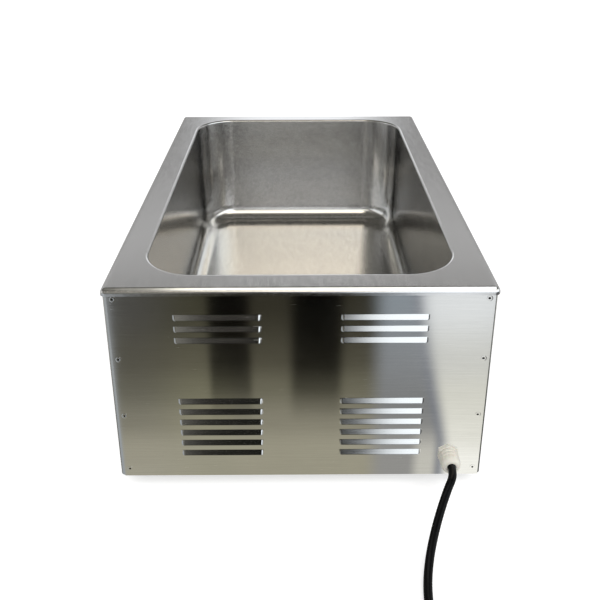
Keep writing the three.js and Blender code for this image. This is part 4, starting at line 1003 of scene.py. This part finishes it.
def shown_to(tree, mirror, plain, other):
    """Plain to the camera, mirror to glossy rays, and the third to all other rays."""
    paths = tree.nodes.new("ShaderNodeLightPath")
    choose = tree.nodes.new("ShaderNodeMixShader")
    feed(tree, choose.inputs[0], paths.outputs["Is Glossy Ray"])
    feed(tree, choose.inputs[1], other)
    feed(tree, choose.inputs[2], mirror)
    seen = math_node(tree, "MAXIMUM", paths.outputs["Is Camera Ray"], paths.outputs["Is Transmission Ray"])
    final = tree.nodes.new("ShaderNodeMixShader")
    feed(tree, final.inputs[0], seen)
    feed(tree, final.inputs[1], choose.outputs[0])
    feed(tree, final.inputs[2], plain)
    return final.outputs[0]


def mirrored_floor(tree):
    """The room's soft shapes, laid out by the panel's millimetres across and up that mirror them."""
    x, y, _ = axes(tree, "ShaderNodeNewGeometry", "Position")
    run = math_node(tree, "DIVIDE", math_node(tree, "SUBTRACT", y, MIRROR_Y), MIRROR_SPAN)
    run = math_node(tree, "MAXIMUM", run, NEAREST)
    across = math_node(tree, "DIVIDE", math_node(tree, "SUBTRACT", x, MIRROR_X), run)
    across = math_node(tree, "MULTIPLY_ADD", across, 1000.0, 1000 * MIRROR_X)
    up = math_node(tree, "SUBTRACT", 1.0, math_node(tree, "DIVIDE", 1.0, run))
    up = math_node(tree, "MULTIPLY", up, 1000 * MIRROR_HEIGHT)
    down = to_range(tree, up, 1, 0, 0, PANEL_SPAN)
    outer = ramp(tree, down, [
        (0.02, (0.094, 0.092, 0.085)), (0.3, (0.119, 0.113, 0.089)), (0.44, (0.178, 0.172, 0.135)),
        (0.62, (0.3, 0.288, 0.23)), (0.78, (0.47, 0.45, 0.36)), (1.0, (0.51, 0.49, 0.4)),
    ])
    inner = ramp(tree, down, [
        (0.02, (0.07, 0.067, 0.044)), (0.3, (0.146, 0.138, 0.098)), (0.44, (0.236, 0.228, 0.158)),
        (0.62, (0.375, 0.358, 0.26)), (0.78, (0.46, 0.444, 0.345)),
    ])
    middle = ramp(tree, down, [
        (0.02, (0.044, 0.041, 0.028)), (0.3, (0.103, 0.096, 0.069)), (0.44, (0.206, 0.197, 0.142)),
        (0.62, (0.345, 0.328, 0.255)), (0.78, (0.47, 0.45, 0.35)),
    ])
    cool = ramp(tree, down, [
        (0.02, (0.36, 0.41, 0.46)), (0.3, (0.33, 0.35, 0.375)), (0.5, (0.3, 0.31, 0.32)),
        (0.78, (0.41, 0.41, 0.4)), (1.0, (0.42, 0.42, 0.41)),
    ])
    bright = ramp(tree, down, [
        (0.02, (1.08, 1.12, 1.16)), (0.3, (0.86, 0.87, 0.84)), (0.5, (0.98, 0.98, 0.9)),
        (0.7, (1.1, 1.1, 1.02)), (0.88, (1.32, 1.32, 1.26)),
    ])
    shade = ramp(tree, down, [
        (0.0, grey(1)), (0.1, grey(0.97)), (0.3, grey(0.89)), (0.44, grey(0.66)), (0.54, grey(0.31)),
        (0.64, grey(0)),
    ])
    # The warm side, with the dark bars over it and over the middle
    left = mixed(tree, soft_step(tree, across, 160, 95), outer, inner)
    glow = mixed(tree, soft_step(tree, across, 58, 76), middle, left)
    for low, high, edge in DARK_BARS:
        dark = math_node(tree, "MULTIPLY", soft_bar(tree, across, low, high, edge), shade)
        glow = mixed(tree, dark, glow, BAR_TONE)
    # The cool side, and a pale sill low on it
    sill = math_node(
        tree, "MULTIPLY", soft_step(tree, across, -108, -122), soft_step(tree, down, 0.64, 0.84))
    cool = mixed(tree, sill, cool, (0.78, 0.77, 0.71))
    glow = mixed(tree, soft_step(tree, across, -62, -84), glow, cool)
    # The bright side's edge leans outwards down the panel, behind a thin dark line.
    lean = math_node(tree, "MULTIPLY_ADD", math_node(tree, "MINIMUM", down, 0.74), 42.0, across)
    glow = mixed(tree, soft_bar(tree, lean, -117, -105, 6), glow, (0.27, 0.29, 0.34))
    glow = mixed(tree, soft_step(tree, lean, -106, -122), glow, bright)
    # Past the panel's two edges
    glow = mixed(tree, soft_step(tree, across, -188, -194), glow, (0.13, 0.13, 0.135))
    glow = mixed(tree, soft_step(tree, across, 176, 181), glow, (0.46, 0.49, 0.52))
    # Beside and before the object the floor is pale, with painted shade darkening it close to the sheets.
    aside = soft_step(tree, math_node(tree, "ABSOLUTE", x), 0.2, 0.62)
    before = soft_step(tree, y, -0.32, -0.74)
    around = mixed(tree, math_node(tree, "MAXIMUM", aside, before), (0.24, 0.24, 0.235), (0.74, 0.74, 0.73))
    around = mixed(tree, soft_step(tree, y, 0.2, 0.26), around, (0.12, 0.12, 0.1))
    return mixed(tree, soft_step(tree, y, 0.284, 0.27), glow, around)


def floor_shading(tree):
    plain = tree.nodes.new("ShaderNodeAddShader")
    feed(tree, plain.inputs[0], shading(tree, "ShaderNodeEmission", grey(1), strength=0.6))
    feed(tree, plain.inputs[1], shading(tree, "ShaderNodeBsdfDiffuse", grey(0.7)))
    mirror = shading(tree, "ShaderNodeEmission", mirrored_floor(tree))
    return shown_to(tree, mirror, plain.outputs[0], shading(tree, "ShaderNodeBsdfDiffuse", grey(0.6)))


def floor():
    made = level_sheet("floor", (-FLOOR_REACH, -FLOOR_REACH), (FLOOR_REACH, FLOOR_REACH), FLOOR_LEVEL)
    surface(made, "studio_floor", floor_shading)


def mirrored_room(tree):
    """What the steel mirrors above the floor, by degrees of turn from +Y to +X and of height."""
    x, y, z = axes(tree, "ShaderNodeTexCoord", "Generated")
    turn = math_node(tree, "MULTIPLY", math_node(tree, "ARCTAN2", x, y), math.degrees(1))
    height = math_node(tree, "MULTIPLY", math_node(tree, "ARCSINE", z), math.degrees(1))
    # The room before the object goes by height alone, but for a bright strip in its middle.
    front = ramp(tree, z, [
        (0.0, (0.74, 0.74, 0.75)), (0.2, grey(0.68)), (0.27, grey(0.4)), (0.35, grey(0.46)),
        (0.39, (0.76, 0.76, 0.77)), (0.45, (0.76, 0.76, 0.77)), (0.485, (0.23, 0.23, 0.225)),
        (0.62, (0.09, 0.088, 0.075)), (0.85, (0.12, 0.118, 0.1)), (1.0, (0.3, 0.295, 0.27)),
    ])
    facing = soft_step(tree, math_node(tree, "ABSOLUTE", turn), 171, 177)
    facing = math_node(tree, "MULTIPLY", facing, soft_bar(tree, height, 8, 22, 2))
    front = mixed(tree, facing, front, (2.0, 2.05, 2.13))
    # The room behind is dark low down, with a bright window to one side, nearer the middle higher up,
    # and a pale wall to the far other side.
    back = ramp(tree, to_range(tree, turn, 0, 1, -30, 30), [
        (0.45, (0.02, 0.02, 0.018)), (0.56, (0.01, 0.01, 0.008)), (0.615, (0.02, 0.019, 0.016)),
        (0.637, (0.08, 0.078, 0.07)), (0.66, (0.26, 0.255, 0.235)), (0.7, (0.36, 0.35, 0.31)),
        (0.73, (0.16, 0.155, 0.13)), (0.9, (0.17, 0.165, 0.14)),
    ])
    window = math_node(tree, "MULTIPLY_ADD", height, -0.11, turn)
    back = mixed(tree, soft_step(tree, window, -5.2, -9.2), back, (1.5, 1.6, 1.7))
    back = mixed(tree, soft_step(tree, turn, 40, 80), back, (0.85, 0.85, 0.84))
    # A lit band stands over the low part, warm ahead and dim to the one side.
    band = ramp(tree, to_range(tree, turn, 0, 1, -90, 90), [
        (0.0, (0.95, 1.0, 1.05)), (0.14, (2.0, 2.0, 1.9)), (0.26, (2.0, 1.97, 1.8)),
        (0.39, (1.3, 1.24, 1.1)), (0.444, (1.35, 1.25, 1.08)), (0.475, (1.74, 1.6, 1.38)),
        (0.505, (1.74, 1.6, 1.38)), (0.53, (1.05, 0.98, 0.86)), (0.56, (0.36, 0.35, 0.32)),
        (0.67, (0.36, 0.35, 0.32)), (0.84, (0.2, 0.195, 0.18)), (1.0, (0.1, 0.096, 0.085)),
    ])
    back = mixed(tree, soft_step(tree, height, 24, 29), back, band)
    back = mixed(tree, to_range(tree, height, 0, 0.16, 30, 34), back, grey(0))
    # A beam crosses the band's middle. The ceiling is dark, and starts higher there than at the sides.
    ahead = soft_bar(tree, turn, -38, 11, 6)
    beam = math_node(tree, "MULTIPLY", soft_bar(tree, height, 39, 48, 2), ahead)
    back = mixed(tree, beam, back, (3.0, 2.7, 2.25))
    raised = math_node(tree, "MULTIPLY_ADD", ahead, -13.0, height)
    back = mixed(tree, soft_step(tree, raised, 36, 44), back, (0.12, 0.115, 0.1))
    return mixed(tree, soft_step(tree, y, -0.12, 0.12), front, back)


# A bright card over the near rim, which only the steel mirrors
CARD_LEVEL = 0.35
CARD_NEAR = (-0.25, 0.2)
CARD_FAR = (0.2, 0.36)


def card_shading(tree):
    x, _, _ = axes(tree, "ShaderNodeNewGeometry", "Position")
    glow = ramp(tree, to_range(tree, x, 0, 1, CARD_NEAR[0], CARD_FAR[0]), [
        (0.0, (1.7, 1.75, 1.8)), (0.5, (1.85, 1.8, 1.66)), (0.8, (1.8, 1.74, 1.55)),
        (0.94, (0.4, 0.39, 0.35)),
    ])
    return shading(tree, "ShaderNodeEmission", glow)


def bright_card():
    made = level_sheet("bright_card", CARD_NEAR, CARD_FAR, CARD_LEVEL)
    surface(made, "bright_card", card_shading)
    made.visible_camera = False
    made.visible_diffuse = False
    made.visible_transmission = False
    made.visible_shadow = False


def studio_world():
    world = bpy.data.worlds.new("studio")
    bpy.context.scene.world = world
    world.use_nodes = True
    tree = world.node_tree
    tree.nodes.clear()
    mirror = shading(tree, "ShaderNodeBackground", mirrored_room(tree))
    plain = shading(tree, "ShaderNodeBackground", grey(1))
    soft = shading(tree, "ShaderNodeBackground", grey(0.78))
    output = tree.nodes.new("ShaderNodeOutputWorld")
    feed(tree, output.inputs["Surface"], shown_to(tree, mirror, plain, soft))


def lamp(name, place, aim, size, power):
    data = bpy.data.lights.new(name, "AREA")
    data.energy = power
    data.size = size
    made = linked(name, data)
    made.location = place
    made.rotation_euler = (Vector(aim) - Vector(place)).to_track_quat("-Z", "Y").to_euler()
    made.visible_glossy = False


# The scene: camera and cord first
scene_camera()
jacket = plastic("cord_jacket", (0.004, 0.004, 0.0045), 0.26, grain=400, depth=0.000012, specular=0.1)
plug_rubber = plastic("plug_plastic", (0.013, 0.013, 0.014), 0.42, grain=800, depth=0.00004)
brass = small_metal("brass_fittings", (0.78, 0.6, 0.3), 0.18, 0.3)
cord = supply_cord(jacket)
plug(plug_rubber, brass)

studio_world()
floor()
bright_card()
LAMP_AIM = (0, 0, 0.1)
lamp("key", (-0.9, 1.2, 1.6), LAMP_AIM, 1.2, 12)
lamp("fill", (1.2, -0.8, 1.4), LAMP_AIM, 1.4, 8)

# Grain is finer across the brush lines than along them. The pressed top is a soft satin.
drawn = steel(
    "drawn_steel", (0.74, 0.735, 0.725), 0.19, (260, 60, 260), 0.000001, blotch=0.02, grazing=0.55)
panel_steel = steel(
    "panel_steel", (0.675, 0.67, 0.65), 0.11, (22, 700, 2300), 0.0000015, across=(0, 0, 1), anisotropy=0.6,
    scratches=0.6)
body_steel = steel(
    "body_steel", (0.66, 0.655, 0.63), 0.2, (22, 22, 2300), 0.000002, across=(0, 0, 1), anisotropy=0.5,
    scratches=0.2)
# Near-black and matt: painted shade for the rivets' hollow cores
painted_bore_shade = plastic("painted_bore_shade", (0.004, 0.004, 0.004), 0.8, specular=0.1)
nylon = plastic("gland_nylon", (0.84, 0.81, 0.72), 0.38, spread=0.03, inside=0.06)
knob_plastic = plastic("knob_plastic", (0.014, 0.014, 0.015), 0.34, grain=1400, depth=0.00002)
dial_paint = plastic("dial_paint", (0.82, 0.82, 0.8), 0.45, spread=0.03)
black_plastic = plastic("black_plastic", (0.016, 0.016, 0.017), 0.42)
amber = plastic("lamp_lens", (0.75, 0.16, 0.03), 0.1, grain=200, spread=0.06, inside=0.3)
rubber = plastic("foot_rubber", (0.018, 0.018, 0.018), 0.68, grain=500, depth=0.00006)

pressed_top(drawn)
louvred_panel(panel_steel)
folded_wall(body_steel)
rivets(panel_steel, painted_bore_shade)
gland(nylon)
knob(knob_plastic, dial_paint)
index_mark(black_plastic)
pilot_lamp(black_plastic, amber)
feet(rubber)

# The nodes that keep their own solids get their finishes
small_metal("galvanised_steel", (0.56, 0.58, 0.6), 0.35, 0.5, spots=90)
plastic("mineral_wool", (0.72, 0.68, 0.55), 0.9, grain=500, depth=0.0004)
small_metal("element_sheath", (0.24, 0.23, 0.22), 0.4, 0.55)
plastic("white_ceramic", (0.8, 0.77, 0.68), 0.45, spread=0.04)
small_metal("plated_steel", (0.62, 0.62, 0.6), 0.25, 0.4)
plastic("tie_plastic", (0.02, 0.02, 0.02), 0.4)
plastic("wire_black", (0.014, 0.014, 0.015), 0.5)
plastic("wire_white", (0.75, 0.74, 0.7), 0.5, spread=0.04)
plastic("wire_green", (0.04, 0.3, 0.07), 0.5)
plastic("wire_red", (0.5, 0.04, 0.03), 0.5)

for entry in frame["record"]["subparts"]:
    part = NODES[entry["node"]]
    if part.hide_render:
        continue
    part.data.materials.clear()
    part.data.materials.append(FINISHES[entry["material_slot"]])

bpy.context.scene.view_settings.view_transform = "Standard"
# The photograph's steel shows no put-away cord and plug, so it mirrors neither them nor the gland.
UNMIRRORED = (
    "supply_cord", "moulded_plug", "blade_1", "blade_2", "earth_pin", "cord_tie", "cord_tail",
    "gland_hexagon", "gland_nut", "gland_seal",
)
for name in UNMIRRORED:
    bpy.data.objects[name].visible_glossy = False
